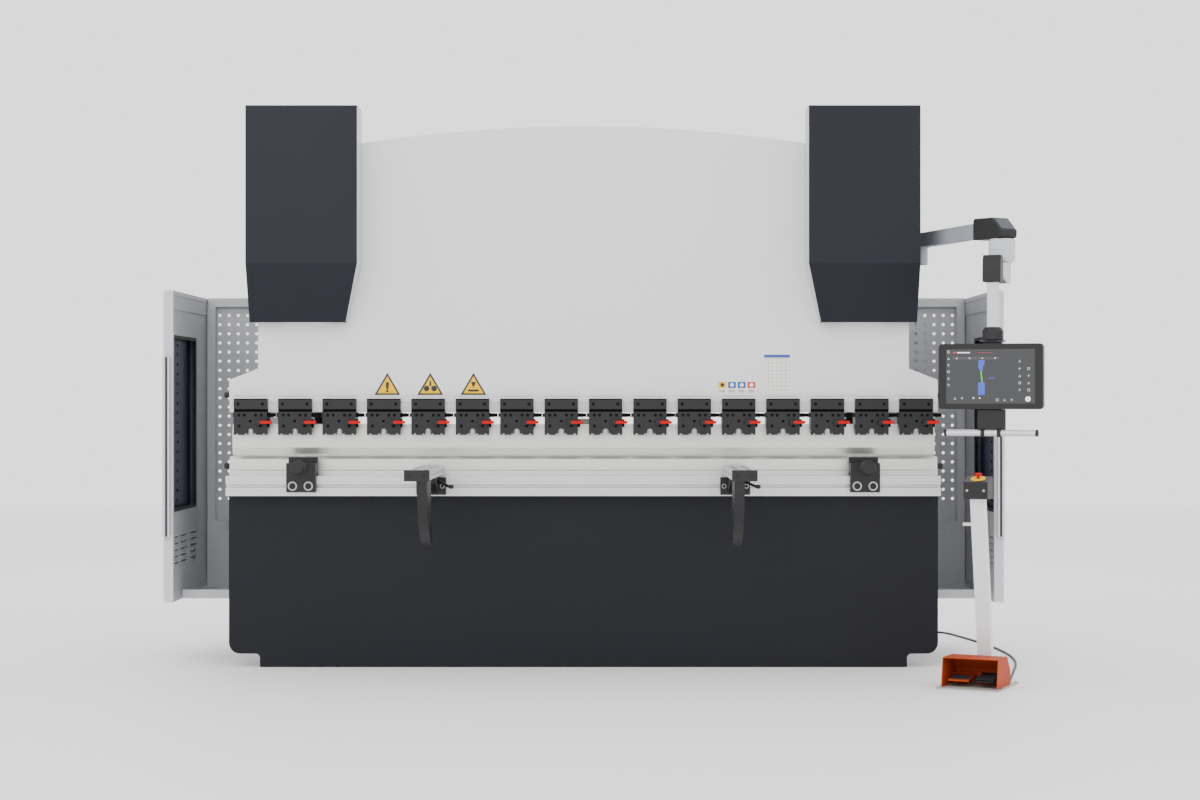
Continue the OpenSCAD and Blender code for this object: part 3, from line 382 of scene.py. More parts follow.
metals = {
    # ground tool steel: bright, lines along the tool
    "groundSteel": {"colour": "#dcdbd8", "shade": "#c9c8c5", "metallic": 0.85, "rough": (0.3, 0.42),
                    "grain": 3.0, "stretch": (0.04, 1, 1), "bump": 0.08},
    # anodised aluminium extrusion: satin, drawn along its length; one entry per direction
    "anodisedRail": {"colour": "#d6d7d8", "shade": "#c6c7c9", "metallic": 0.75, "rough": (0.32, 0.45),
                     "grain": 3.0, "stretch": (0.03, 1, 1), "bump": 0.06},
    "anodisedArm": {"colour": "#d0d1d3", "shade": "#bfc0c3", "metallic": 0.75, "rough": (0.3, 0.42),
                    "grain": 3.0, "stretch": (1, 0.04, 1), "bump": 0.06},
    "anodisedPost": {"colour": "#d0d1d3", "shade": "#bdbec2", "metallic": 0.8, "rough": (0.25, 0.38),
                     "grain": 3.0, "stretch": (1, 1, 0.04), "bump": 0.06},
    # turned and plated steel: grey with a soft shine
    "turnedSteel": {"colour": "#b4b6ba", "shade": "#9da0a5", "metallic": 0.9, "rough": (0.28, 0.42),
                    "grain": 4.0, "stretch": (1, 1, 0.3), "bump": 0.08},
    # hard chrome plate on a ground rod: mirror bright
    "hardChrome": {"colour": "#e4e6e8", "shade": "#d8dadd", "metallic": 1.0, "rough": (0.06, 0.14),
                   "grain": 6.0, "stretch": (1, 1, 0.1), "bump": 0.01},
    # black-oxide steel: near black with worn, slightly lighter patches
    "blackOxide": {"colour": "#131315", "shade": "#1d1d1f", "metallic": 0.3, "rough": (0.4, 0.58),
                   "grain": 9.0, "stretch": (1, 1, 1), "bump": 0.1},
}
plastics = {
    # black moulded nylon, fine spark-eroded texture
    "blackNylon": {"colour": "#0e0e0f", "shade": "#141416", "rough": (0.42, 0.56), "ior": 1.42,
                   "grain": 1.2, "bump": 0.2},
    # signal red moulded nylon, satin
    "redNylon": {"colour": "#b90a07", "shade": "#a80805", "rough": (0.5, 0.6), "ior": 1.25, "grain": 1.2,
                 "bump": 0.1},
    # black rubber cable jacket, matt
    "cableRubber": {"colour": "#0d0d0e", "shade": "#141416", "rough": (0.5, 0.65), "ior": 1.5, "grain": 1.5,
                    "bump": 0.2},
    # dark grey rubber extrusion, matt
    "sealRubber": {"colour": "#2a2a2c", "shade": "#343437", "rough": (0.6, 0.75), "ior": 1.5, "grain": 1.5,
                   "bump": 0.2},
    # blue-black moulded tread rubber, matt
    "treadRubber": {"colour": "#17181e", "shade": "#111217", "rough": (0.55, 0.7), "ior": 1.5, "grain": 1.5,
                    "bump": 0.3},
}
displays = {
    # backlit glass panel, one entry for each flat colour of the picture on it
    "screenDark": {"colour": "#2e2f31", "shade": "#323335", "glow": 0.12},
    "screenBar": {"colour": "#3d3e41", "shade": "#414245", "glow": 0.15},
    "screenBlue": {"colour": "#3b4fb4", "shade": "#3647a4", "glow": 0.5},
    "screenGreen": {"colour": "#47b549", "shade": "#40a942", "glow": 0.6},
    "screenGrey": {"colour": "#aeb1b4", "shade": "#a2a5a8", "glow": 0.4},
    "screenRed": {"colour": "#a83238", "shade": "#9a2d32", "glow": 0.4},
    "screenWhite": {"colour": "#eceded", "shade": "#e2e3e3", "glow": 0.6},
}
finishes = {name: paintedSteel(name, paint) for name, paint in paints.items()}
finishes.update({name: machinedMetal(name, metal) for name, metal in metals.items()})
finishes.update({name: mouldedPlastic(name, plastic) for name, plastic in plastics.items()})
finishes.update({name: litDisplay(name, display) for name, display in displays.items()})
finishes["tintedAcrylic"] = tintedAcrylic("tintedAcrylic", {"colour": "#1c1c40", "shade": "#2e2e58"})
print("stage: finishes made")


# finishes of the carried-over parts

nodeFinishes = {
    "navyEnamel": ("side_frame_left", "side_frame_right", "bed", "cross_ties", "pedal_right"),
    "litCoverEnamel": ("cover_left", "cover_right"),
    "whiteEnamel": ("ram", "pedal_column"),
    "lightPowder": ("oil_tank", "tank_lid", "electrical_cabinet", "cabinet_door", "guard_door_left",
                    "guard_door_right", "guard_tray_left", "guard_tray_right", "swivel_head", "pendant_tube"),
    "greyPowder": ("console_bracket", "boom_arm"),
    "darkPowder": ("pump_motor",),
    "groundSteel": ("die_holder", "die", "punch"),
    "anodisedRail": ("arm_rail", "gauge_beam", "monitor_handle"),
    "anodisedArm": ("arm_profile_left", "arm_profile_right"),
    "anodisedPost": ("handle_left", "handle_right"),
    "turnedSteel": ("valve_blocks", "hydraulic_pipes", "cylinder_barrels", "ram_gibs", "gauge_rails"),
    "hardChrome": ("piston_rods",),
    "blackOxide": ("clamp_blocks", "clamp_plates", "arm_bracket_left", "arm_bracket_right", "stop_left",
                   "stop_right", "gauge_fingers"),
    "redNylon": ("clamp_levers", "estop_button"),
    "blackNylon": ("end_knobs", "stop_knob_left", "stop_knob_right", "monitor", "pedal_head"),
    "tintedAcrylic": ("window_left", "window_right"),
    "orangeEnamel": ("pedal_hood", "pedal_left"),
    "hammeredGrey": ("pedal_base",),
}
edgeWidths = {"ram": 1.5, "bed": 2.0, "cover_left": 1.4, "cover_right": 1.4, "punch": 0.6, "die": 0.6,
              "die_holder": 0.8, "arm_rail": 0.6, "clamp_blocks": 1.2, "clamp_levers": 2.0, "stop_left": 1.5,
              "stop_right": 1.5, "arm_profile_left": 0.8, "arm_profile_right": 0.8, "arm_bracket_left": 1.5,
              "arm_bracket_right": 1.5, "guard_door_left": 0.8, "guard_door_right": 0.8, "handle_left": 1.0,
              "handle_right": 1.0, "boom_arm": 3.0, "monitor": 3.0, "pedal_column": 3.0, "pedal_head": 3.0,
              "oil_tank": 2.0, "tank_lid": 1.5, "side_frame_left": 2.0, "side_frame_right": 2.0,
              "electrical_cabinet": 1.0, "cabinet_door": 1.5, "gauge_beam": 1.5, "gauge_fingers": 1.0,
              "pedal_hood": 0.8, "cross_ties": 3.0, "valve_blocks": 1.5}
for finishName, nodeNames in nodeFinishes.items():
    for nodeName in nodeNames:
        mesh = nodes[nodeName].data
        mesh.materials.clear()
        mesh.materials.append(finishes[finishName])
for nodeName, width in edgeWidths.items():
    softenEdges(nodes[nodeName], width * mm)
print("stage: carried-over parts finished")


# pedal cable

cableSet = {"radius": 5.0, "steps": 5, "route": (
    (1620, 1120, 480), (1620, 1120, 400), (1622, 1126, 300), (1630, 1150, 180), (1646, 1200, 70),
    (1672, 1275, 14), (1710, 1350, 5), (1762, 1410, 5), (1818, 1418, 5), (1862, 1350, 5),
    (1893, 1225, 5), (1926, 1070, 5), (1958, 900, 5), (1984, 720, 5), (1998, 540, 5),
    (2000, 360, 5), (1988, 180, 5), (1960, 0, 5), (1922, -170, 5), (1886, -330, 5),
    (1856, -460, 5), (1832, -560, 7), (1810, -612, 20), (1790, -655, 30))}

def smoothRoute(route, steps, lowest):
    points = [Vector(p) for p in route]
    path = []
    for i in range(len(points) - 1):
        a, b, c, d = points[max(i - 1, 0)], points[i], points[i + 1], points[min(i + 2, len(points) - 1)]
        for t in (k / steps for k in range(steps)):
            path.append(0.5 * (2 * b + (c - a) * t + (2 * a - 5 * b + 4 * c - d) * t ** 2
                               + (3 * b - a - 3 * c + d) * t ** 3))
    path.append(points[-1])
    return [Vector((p.x, p.y, max(p.z, lowest))) * mm for p in path]


def makeCable():
    path = smoothRoute(cableSet["route"], cableSet["steps"], cableSet["radius"])
    curve = bpy.data.curves.new("pedalCable", "CURVE")
    curve.dimensions, curve.bevel_depth, curve.bevel_resolution = "3D", cableSet["radius"] * mm, 4
    curve.use_fill_caps = True
    spline = curve.splines.new("POLY")
    spline.points.add(len(path) - 1)
    for point, place in zip(spline.points, path):
        point.co = (*place, 1)
    curve.materials.append(finishes["cableRubber"])
    cable = bpy.data.objects.new("pedalCable", curve)
    bpy.context.collection.objects.link(cable)
    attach(cable, "machine")
    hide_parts("pedal_cable")


makeCable()


# side guards

screenSet = {"pitch": 45.35, "holeR": 7.2, "firstX": 1815, "firstZ": 1626, "columns": 11, "rows": 21,
             "sheet": 1.5, "stile": 38, "rail": 42, "fold": 30, "inner": 1285, "outer": 1870, "back": 932,
             "top": 1710, "bottom": 562, "foot": 284.5, "hingeZ": (374, 965.5, 1557)}

def makeScreen(side):
    # perforated sheet between folded edges, with the fixed halves of the hinges
    body, name = "machine", "guardScreen" + sideName[side].capitalize()
    s = screenSet
    inner, outer, back = (s[key] * mm for key in ("inner", "outer", "back"))
    top, bottom, foot = (s[key] * mm for key in ("top", "bottom", "foot"))
    holes = [circle((s["firstX"] - s["pitch"] * i) * mm, (s["firstZ"] - s["pitch"] * j) * mm,
                    s["holeR"] * mm) for i in range(s["columns"]) for j in range(s["rows"])]
    sheet = sheetMesh(name, rectangle(inner, bottom, outer - 0.001, top), holes, s["sheet"] * mm,
                      Matrix.Translation((0, back - 0.001, 0)) @ Matrix.Rotation(math.radians(90), 4, "X"))
    bm = bmesh.new()
    bm.from_mesh(sheet)
    fold, stile, rail = s["fold"] * mm, s["stile"] * mm, s["rail"] * mm
    addBox(bm, (outer - stile, back - fold, foot), (outer, back, top))
    addBox(bm, (inner, back - fold, top - rail), (outer - stile, back - 0.0018, top))
    addBox(bm, (inner, back - fold, bottom), (outer - stile, back - 0.0018, bottom + 0.004))
    for z in (z * mm for z in s["hingeZ"]):
        addBox(bm, (outer - 0.03, back, z), (outer + 0.045, back + 0.006, z + 0.03))
        addLathe(bm, [(0, 0), (0.009, 0), (0.009, 0.03), (0.004, 0.03), (0.004, 0.06), (0, 0.06)],
                 Matrix.Translation((outer + 0.045, 0.941, z)), 20)
    if side == left:
        bm.transform(Matrix.Scale(-1, 4, (1, 0, 0)))
    mesh = toMesh(bm, name)
    bpy.data.meshes.remove(sheet)
    piece = finishPiece(name, mesh, finishes["lightPowder"], body)
    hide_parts("guard_screen_" + sideName[side])


doorSet = {"liner": 1.5, "inset": 22, "holeR": 6.0, "columns": (150, 330), "pitch": 45.35, "topZ": 1600,
           "louvreRows": 5, "louvreTop": 577, "louvreStep": 29.8,
           "louvreColumns": ((105, 190), (247, 385), (498, 631)), "innerX": 1878, "margin": 20,
           "lowestZ": 620, "frontY": 53, "backY": 930, "railX": 1874.5, "railY": (72, 905),
           "rails": ((1622, 1700), (300, 330)), "reflectedHoleX": 1907.5}

def makeDoorLiner(side):
    # inner skin of the door: window opening, two columns of holes, and louvre slots with pressed hoods
    body = "guard_" + sideName[side]
    low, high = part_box("guard_door_" + sideName[side])
    paneLow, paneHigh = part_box("window_" + sideName[side])
    s = doorSet
    inner, margin, edge = s["innerX"] * mm, s["margin"] * mm, s["inset"] * mm
    opening = (paneLow.y + margin, paneLow.z + margin, paneHigh.y - margin, paneHigh.z - margin)
    holes = [rectangle(opening[0], opening[1], opening[2], opening[3])]
    z = s["topZ"] * mm
    while z > s["lowestZ"] * mm:
        for y in s["columns"]:
            besidePane = opening[1] - margin < z < opening[3] + margin
            if not (besidePane and opening[0] - margin < y * mm < opening[2] + margin):
                holes.append(circle(y * mm, z, s["holeR"] * mm, 12))
        z -= s["pitch"] * mm
    slots = [(y0 * mm, (s["louvreTop"] - s["louvreStep"] * row) * mm, y1 * mm)
             for row in range(s["louvreRows"]) for y0, y1 in s["louvreColumns"]]
    holes += [roundRect(y1 - y0, 0.009, 0.0044, ((y0 + y1) / 2, z), 3) for y0, z, y1 in slots]
    outer = rectangle(s["frontY"] * mm, low.z + 0.004, s["backY"] * mm - edge + 0.018, high.z - 0.004)
    liner = sheetMesh("doorLiner", outer, holes, s["liner"] * mm, facingSide(side * inner, 0, 0, 1))
    finishPiece("doorLiner" + sideName[side].capitalize(), liner, finishes["lightPowder"], body)
    bm = bmesh.new()
    for y0, z, y1 in slots:
        hood = [(y0 + (y1 - y0) * k / 8, z + 0.004 + 0.004 * math.sin(math.pi * k / 8)) for k in range(9)]
        profile = [(y, h) for y, h in hood] + [(y1, z + 0.0035), (y0, z + 0.0035)]
        hoodX = inner - 0.0052 if side == right else 0.0002 - inner
        addPrism(bm, profile, 0.005, facingSide(hoodX, 0, 0, 1))
    hoods = toMesh(bm, "louvreHoods")
    finishPiece("louvreHoods" + sideName[side].capitalize(), hoods, finishes["lightPowder"], body)
    # top rail pressed in two steps
    bm = bmesh.new()
    x0, x1 = sorted((side * s["railX"] * mm, side * (inner - 0.001)))
    y0, y1 = (y * mm for y in s["railY"])
    for z0, z1 in s["rails"]:
        addBox(bm, (x0, y0, z0 * mm), (x1, y1, z1 * mm))
    finishPiece("doorRails" + sideName[side].capitalize(), toMesh(bm, "doorRails"), finishes["lightPowder"],
                body, 0.001)
    # rubber seal round the pane, and dark discs in front of it in the hole columns: a painted reflection of
    # the perforated sheet in the glossy pane
    y0, z0, y1, z1 = opening
    band = 0.008
    seal = sheetMesh("windowSeal", rectangle(y0 - band, z0 - band, y1 + band, z1 + band),
                     [rectangle(y0 + band, z0 + band, y1 - band, z1 - band)], 0.004,
                     facingSide(side * (inner - 0.001), 0, 0, 1))
    finishPiece("windowSeal" + sideName[side].capitalize(), seal, finishes["sealRubber"], body,
                0.001)
    bm = bmesh.new()
    z = s["topZ"] * mm
    while z > z0:
        if z < z1 - 0.02:
            for y in s["columns"]:
                addLathe(bm, [(0, 0), (0.007, 0), (0.007, 0.002), (0.005, 0.004), (0, 0.004)],
                         turned((side * s["reflectedHoleX"] * mm, y * mm, z), "Y", -90 * side), 14)
        z -= s["pitch"] * mm
    finishPiece("paneReflectedHoles" + sideName[side].capitalize(), toMesh(bm, "paneReflectedHoles"), finishes["blackNylon"],
                body)


gripSet = {"insertX": (1889.5, 1894), "edgeX": (1892, 1904)}

def makeHandleGrip(side):
    # dark insert in the channel of the pull, and its end caps
    low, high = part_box("handle_" + sideName[side])
    body = "guard_" + sideName[side]
    bm = bmesh.new()
    x0, x1 = sorted(side * x * mm for x in gripSet["insertX"])
    addBox(bm, (x0, low.y + 0.0055, low.z + 0.002), (x1, high.y - 0.0055, high.z - 0.002))
    edges = sorted(side * x * mm for x in gripSet["edgeX"])
    addBox(bm, (edges[0], low.y - 0.0004, low.z + 0.002), (edges[1], low.y + 0.001, high.z - 0.002))
    for z in (low.z, high.z - 0.006):
        addBox(bm, (low.x + 0.001, low.y + 0.0052, z), (high.x - 0.001, high.y - 0.0052, z + 0.006))
    finishPiece("gripInsert" + sideName[side].capitalize(), toMesh(bm, "gripInsert"),
                finishes["sealRubber"], body, 0.0008)


for side in (left, right):
    makeScreen(side)
    makeDoorLiner(side)
    makeHandleGrip(side)
print("stage: guards made")


# clamps: socket screws, clips and dowel ends on each jaw plate
clampSet = {"count": 16, "pitch": 200, "face": -75, "screwR": 6.5, "socketR": 8,
            "screws": ((-27, 1139), (49, 1139), (-51, 1139), (24, 1139), (-50, 1090), (46, 1090)),
            "bits": (-60, -20, 20, 60), "bitZ": 1053.5, "hexZ": 1111.9, "clipZ": 1062, "clipTopZ": 1073,
            "catchX": 75, "catchY": -62, "catchZ": 1106.9, "capX": 55, "capZ": 1189, "edgeShadeW": 148,
            "edgeShadeZ": (1208.5, 1212.5)}

def makeClampScrews():
    s = clampSet
    dark, bright = bmesh.new(), bmesh.new()
    first = -(s["count"] - 1) * s["pitch"] / 2
    for k in range(s["count"]):
        x0 = first + k * s["pitch"]
        for x, z in s["screws"]:
            place = facingFront((x0 + x) * mm, s["face"] * mm, z * mm)
            r = s["screwR"] * mm
            addLathe(dark, [(0.0022, 0.0008), (0.0022, 0.003), (r - 0.001, 0.003), (r, 0.002), (r, -0.001),
                            (0, -0.001)], place, 14)
        place = facingFront(x0 * mm, (s["face"] + 3) * mm, s["hexZ"] * mm)
        addLathe(dark, [(0.0028, 0.0), (0.0028, 0.004), (0.0046, 0.004), (0.0054, 0.003), (0.0054, -0.001),
                        (0, -0.001)], place, 6)
        for x in s["bits"]:
            addLathe(bright, [(0, 0.0), (0.0036, 0.0), (0.0036, 0.006), (0.0026, 0.007), (0, 0.007)],
                     facingFront((x0 + x) * mm, (s["face"] + 7) * mm, s["bitZ"] * mm), 12)
        # spring clip that hangs in the arched notch, and the catch pin behind the lever
        addPrism(bright, roundRect(0.010, 0.024, 0.004, (x0 * mm, s["clipZ"] * mm)), 0.003,
                 facingFront(0, (s["face"] + 14) * mm, 0))
        addPrism(bright, roundRect(0.014, 0.007, 0.003, (x0 * mm, s["clipTopZ"] * mm)), 0.005,
                 facingFront(0, (s["face"] + 14) * mm, 0))
        addLathe(bright, [(0, 0), (0.004, 0), (0.004, 0.012), (0.003, 0.013), (0, 0.013)],
                 turned(((x0 + s["catchX"]) * mm, s["catchY"] * mm, s["catchZ"] * mm), "Y"), 12)
    # the screws take the painted shadow black, standing in for the shade in their recesses
    finishPiece("clampScrews", toMesh(dark, "clampScrews"), finishes["paintedShadowBlack"], "ram",
                smooth=False)
    finishPiece("clampClips", toMesh(bright, "clampClips"), finishes["turnedSteel"], "ram")
    # dark strip along the top edge of each upper block, painted shade standing in for the shade on its
    # chamfer, with its two screws, all in the painted shadow black
    bm = bmesh.new()
    for k in range(s["count"]):
        x0 = first + k * s["pitch"]
        addBox(bm, ((x0 - s["edgeShadeW"] / 2) * mm, -0.0762, s["edgeShadeZ"][0] * mm),
               ((x0 + s["edgeShadeW"] / 2) * mm, -0.0748, s["edgeShadeZ"][1] * mm))
        for x in (-s["capX"], s["capX"]):
            place = facingFront((x0 + x) * mm, s["face"] * mm, s["capZ"] * mm)
            addLathe(bm, [(0.0024, 0.0006), (0.0024, 0.002), (0.0062, 0.002), (0.007, 0.001),
                          (0.007, -0.001), (0, -0.001)], place, 14)
    finishPiece("clampCaps", toMesh(bm, "clampCaps"), finishes["paintedShadowBlack"], "ram")


# stickers and plates on the face of the ram, all without lettering
labelSet = {"face": -40, "triangles": (-886, -692, -497), "triangleZ": 1230, "triangleW": 117,
            "triangleH": 100}

def flat(bm, outline, lift, depth=0.0004, y=None):
    face = (labelSet["face"] if y is None else y) * mm - lift
    addPrism(bm, outline, depth, facingFront(0, face, 0))


def scaled(points, x, z, size):
    return [(x + px * size, z + pz * size) for px, pz in points]


def makeLabels():
    s = labelSet
    black, yellow, white, blue, red = (bmesh.new() for k in range(5))
    w, h, z0 = s["triangleW"] * mm / 2, s["triangleH"] * mm, s["triangleZ"] * mm
    for k, centre in enumerate(s["triangles"]):
        x = centre * mm
        flat(black, [(x - w, z0), (x + w, z0), (x, z0 + h)], 0, 0.0006)
        flat(yellow, [(x - w + 0.013, z0 + 0.0075), (x + w - 0.013, z0 + 0.0075), (x, z0 + h - 0.0155)],
             0.0006)
        mid = z0 + 0.035
        if k == 0:      # a bar over a dot
            flat(black, scaled([(-0.5, -1), (0.5, -1), (0.8, 2.2), (-0.8, 2.2)], x, mid, 0.010), 0.001,
                 0.0003)
            flat(black, circle(x, mid - 0.018, 0.006, 16), 0.001, 0.0003)
        elif k == 1:    # two rollers
            for side in (left, right):
                flat(black, circle(x + side * 0.017, mid - 0.006, 0.013, 20), 0.001, 0.0003)
            flat(black, rectangle(x - 0.004, mid + 0.004, x + 0.004, mid + 0.028), 0.001, 0.0003)
        else:           # a wedge over a bar
            flat(black, scaled([(-1.2, 2.4), (0, -0.4), (1.2, 2.4)], x, mid, 0.010), 0.001, 0.0003)
            flat(black, rectangle(x - 0.024, mid - 0.020, x + 0.024, mid - 0.010), 0.001, 0.0003)
    # sign board with plain coloured fields
    flat(white, roundRect(0.176, 0.064, 0.003, (0.694, 1.262)), 0, 0.0008)
    for k, bm in enumerate((yellow, blue, blue, red)):
        x = 0.627 + 0.044 * k
        flat(bm, roundRect(0.036, 0.028, 0.002, (x, 1.275)), 0.0008)
        flat(white if bm is not yellow else black, circle(x, 1.275, 0.009, 16), 0.0012, 0.0003)
        for row in range(2):
            z = 1.2425 + 0.007 * row
            flat(black, rectangle(x - 0.016, z, x + 0.016 - 0.006 * row, z + 0.0025), 0.0008, 0.0003)
    # capacity chart: a grid of fine lines on a white plate
    flat(white, roundRect(0.138, 0.190, 0.003, (0.874, 1.330)), 0, 0.0008)
    for k in range(9):
        flat(black, rectangle(0.815, 1.252 + 0.0175 * k, 0.933, 1.2528 + 0.0175 * k), 0.0008, 0.0003)
    for k in range(7):
        flat(black, rectangle(0.815 + 0.0196 * k, 1.252, 0.8158 + 0.0196 * k, 1.392), 0.0008, 0.0003)
    flat(blue, rectangle(0.815, 1.398, 0.933, 1.412), 0.0008)
    for name, bm, material, slot in (("labelBorders", black, "inkBlack", "black_plastic"),
                                     ("labelYellow", yellow, "labelYellow", "orange_enamel"),
                                     ("labelPlates", white, "labelWhite", "white_enamel"),
                                     ("labelBlue", blue, "labelBlue", "navy_enamel"),
                                     ("labelRed", red, "labelRed", "red_plastic")):
        finishPiece(name, toMesh(bm, name), finishes[material], "ram")


# light grey plates on the inner walls of the covers, a painted highlight for the light falling on their inner
# faces, and the screws that hold the covers
coverSet = {"z0": 1559.9, "bend": 1814.9, "z1": 2509, "taper": 64, "inset": 1003}

def makeCoverLitFace(side):
    body, name = "machine", "coverLitFace" + sideName[side].capitalize()
    bend, top, bottom = coverSet["bend"] * mm, coverSet["z1"] * mm, coverSet["z0"] * mm
    x = coverSet["inset"] * mm
    taper = coverSet["taper"] * mm
    bm = bmesh.new()
    corners = [(x - 0.0012, -0.2185, top), (x - 0.0012, -0.0425, top), (x - 0.0012, -0.0425, bend),
               (x - 0.0012, -0.2185, bend)]
    lower = [(x - 0.0012, -0.2185, bend), (x - 0.0012, -0.0425, bend),
             (x + taper - 0.0012, -0.0425, bottom), (x + taper - 0.0012, -0.1075, bottom)]
    for quad in (corners, lower):
        front = [bm.verts.new((side * px, y, z)) for px, y, z in quad]
        back = [bm.verts.new((side * (px + 0.0011), y, z)) for px, y, z in quad]
        bm.faces.new(front)
        bm.faces.new(back[::-1])
        for k in range(4):
            bm.faces.new((front[k], back[k], back[(k + 1) % 4], front[(k + 1) % 4]))
    finishPiece(name, toMesh(bm, name), finishes["lightPowder"], body)
    bm = bmesh.new()
    for z in (1.90, 2.18, 2.46):
        addLathe(bm, [(0, 0.0015), (0.003, 0.0015), (0.003, 0.003), (0.008, 0.003), (0.0095, 0), (0, 0)],
                 turned((side * 1.498, 0.03, z), "Y", 90 * side), 18)
    finishPiece("coverScrews" + sideName[side].capitalize(), toMesh(bm, "coverScrews"),
                finishes["blackOxide"], body)


makeClampScrews()
makeLabels()
for side in (left, right):
    makeCoverLitFace(side)
print("stage: clamps, labels and covers dressed")


# side stops, support arms and rail
stopSet = {"x": 1260, "front": -162, "bolts": (-37, 34), "boltZ": 822.6, "ringR": 21, "socketR": 14}
armSet = {"x": 680, "boltX": 50, "carriageY": -145, "boltZ": 821.5, "capY": -869, "capZ": 893,
          "neckY": (-170, -215)}

def ringBolt(bright, dark, place, ringR, socketR):
    # a socket bolt with a bright rim round its dark hexagon
    rim = [(socketR, 0.0005), (socketR + 0.0008, 0.005), (ringR - 0.001, 0.005), (ringR, 0.0035),
           (ringR, -0.001), (socketR, -0.001)]
    addLathe(bright, rim, place, 36)
    hexagon = [(0, 0.0015), (socketR * 0.72, 0.0015), (socketR * 0.78, 0.004), (socketR * 1.02, 0.004),
               (socketR * 1.02, -0.001), (0, -0.001)]
    addLathe(dark, hexagon, place @ Matrix.Rotation(math.radians(30), 4, "Z"), 6)


def makeStopAndArm(side):
    name = sideName[side].capitalize()
    stopBody, knobBody, armBody = (part + "_" + sideName[side] for part in ("stop", "knob", "arm"))
    s, a = stopSet, armSet
    bright, dark = bmesh.new(), bmesh.new()
    for x in s["bolts"]:
        place = facingFront((side * s["x"] + x) * mm, s["front"] * mm, s["boltZ"] * mm)
        ringBolt(bright, dark, place, s["ringR"] * mm, s["socketR"] * mm)
    finishPiece("stopBolts" + name, toMesh(bright, "stopBolts"), finishes["turnedSteel"], stopBody)
    finishPiece("stopSockets" + name, toMesh(dark, "stopSockets"), finishes["blackOxide"], stopBody)
    # flutes round the rim of the knob
    bm = bmesh.new()
    for k in range(18):
        turn = Matrix.Rotation(2 * math.pi * k / 18, 4, "Z")
        addLathe(bm, [(0, 0.076), (0.0022, 0.077), (0.0022, 0.110), (0, 0.111)],
                 facingFront(side * s["x"] * mm, s["front"] * mm, 0.908) @ turn
                 @ Matrix.Translation((0.0318, 0, 0)), 8)
    finishPiece("knobFlutes" + name, toMesh(bm, "knobFlutes"), finishes["blackNylon"], knobBody)
    bm, bright = bmesh.new(), bmesh.new()
    for x in (-a["boltX"], a["boltX"]):
        ringBolt(bright, bm, facingFront((side * a["x"] + x) * mm, a["carriageY"] * mm, a["boltZ"] * mm),
                 0.011, 0.0065)
    for x in (-30, 30):
        addLathe(bm, [(0.003, 0.0008), (0.003, 0.004), (0.0068, 0.004), (0.0078, 0.003), (0.0078, -0.001),
                      (0, -0.001)], facingFront((side * a["x"] + x) * mm, a["capY"] * mm, a["capZ"] * mm),
                 18)
    # ribs under the neck and the lever that locks the arm
    armX = side * a["x"] * mm
    for y in (y * mm for y in a["neckY"]):
        addBox(bm, (armX - 0.034, y - 0.004, 0.845), (armX + 0.034, y, 0.871))
    bends = ((0.032, -0.200, 0.850), (0.062, -0.215, 0.835), (0.095, -0.240, 0.820))
    addTube(bm, [Vector((armX + x, y, z)) for x, y, z in bends], 0.006, 12)
    addLathe(bm, [(0, -0.006), (0.009, -0.004), (0.011, 0.004), (0.009, 0.012), (0, 0.014)],
             Matrix.Translation((armX + 0.097, -0.241, 0.819)), 16)
    finishPiece("armFittings" + name, toMesh(bm, "armFittings"), finishes["blackOxide"], armBody,
                0.0006)
    finishPiece("armBolts" + name, toMesh(bright, "armBolts"), finishes["turnedSteel"], armBody)
    bm = bmesh.new()
    addLathe(bm, [(0, 0), (0.008, 0), (0.008, 0.006), (0.013, 0.006), (0.013, 0.022), (0.011, 0.0245),
                  (0, 0.0245)], turned((side * 1.6, -0.018, 0.909), "Y", 90 * side), 24)
    finishPiece("holderKnob" + name, toMesh(bm, "holderKnob"), finishes["blackNylon"], "machine")


# console: boom, swivel, stem, screen and hand bar
consoleSet = {"pivot": (1545, 110), "elbow": (1740, -560), "swivel": (1785, -640), "stem": (1720, -800),
              "yaw": -20, "boomZ": 1901.9, "screenZ": 1304.9, "screenY": -62, "display": (369, 226),
              "stemZ": (1510.5, 1697.8)}

def planMatrix(start, end):
    # a frame at start whose X points to end
    run = Vector(end) - Vector(start)
    return yawed(start, math.degrees(math.atan2(run.y, run.x)))


def sideways(place, width):
    # a frame for a side profile: X along the arm, Y up, centred on a width
    return place @ Matrix.Translation((0, width / 2, 0)) @ Matrix.Rotation(math.radians(90), 4, "X")


def makeBoom():
    s = consoleSet
    arm = planMatrix(s["pivot"], s["elbow"])
    z = s["boomZ"] * mm
    length = (Vector(s["elbow"]) - Vector(s["pivot"])).length * mm
    bm = bmesh.new()
    addBox(bm, (0, -0.025, z + 0.003), (length, 0.025, z + 0.067), arm)
    addLathe(bm, [(0.0142, z), (0.034, z), (0.036, z + 0.002), (0.036, z + 0.068), (0.034, z + 0.070),
                  (0, z + 0.070), (0, z + 0.062), (0.0142, z + 0.062), (0.0142, z)], arm, 36)
    boom = finishPiece("boomTube", toMesh(bm, "boomTube"), finishes["greyPowder"], "boom",
                       0.002)
    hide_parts("boom_arm")
    link = planMatrix(s["elbow"], s["swivel"])
    bm = bmesh.new()
    profile = [(-0.047, 1.8925), (0.128, 1.8925), (0.137, 1.900), (0.139, 1.925), (0.078, 1.982),
               (-0.040, 1.984), (-0.047, 1.975)]
    addPrism(bm, profile, 0.090, sideways(link, 0.090))
    finishPiece("elbowCap", toMesh(bm, "elbowCap"), finishes["blackNylon"], "boom", 0.004,
                3)
    bm = bmesh.new()
    addPrism(bm, [(0.085, 1.9762), (0.1335, 1.9312), (0.1342, 1.9322), (0.0857, 1.9772)], 0.070,
             sideways(link, 0.070))
    addBox(bm, (-0.0475, -0.032, 1.900), (-0.0465, 0.032, 1.970), link)
    finishPiece("elbowPanels", toMesh(bm, "elbowPanels"), finishes["darkPowder"], "boom",
                0.0004)


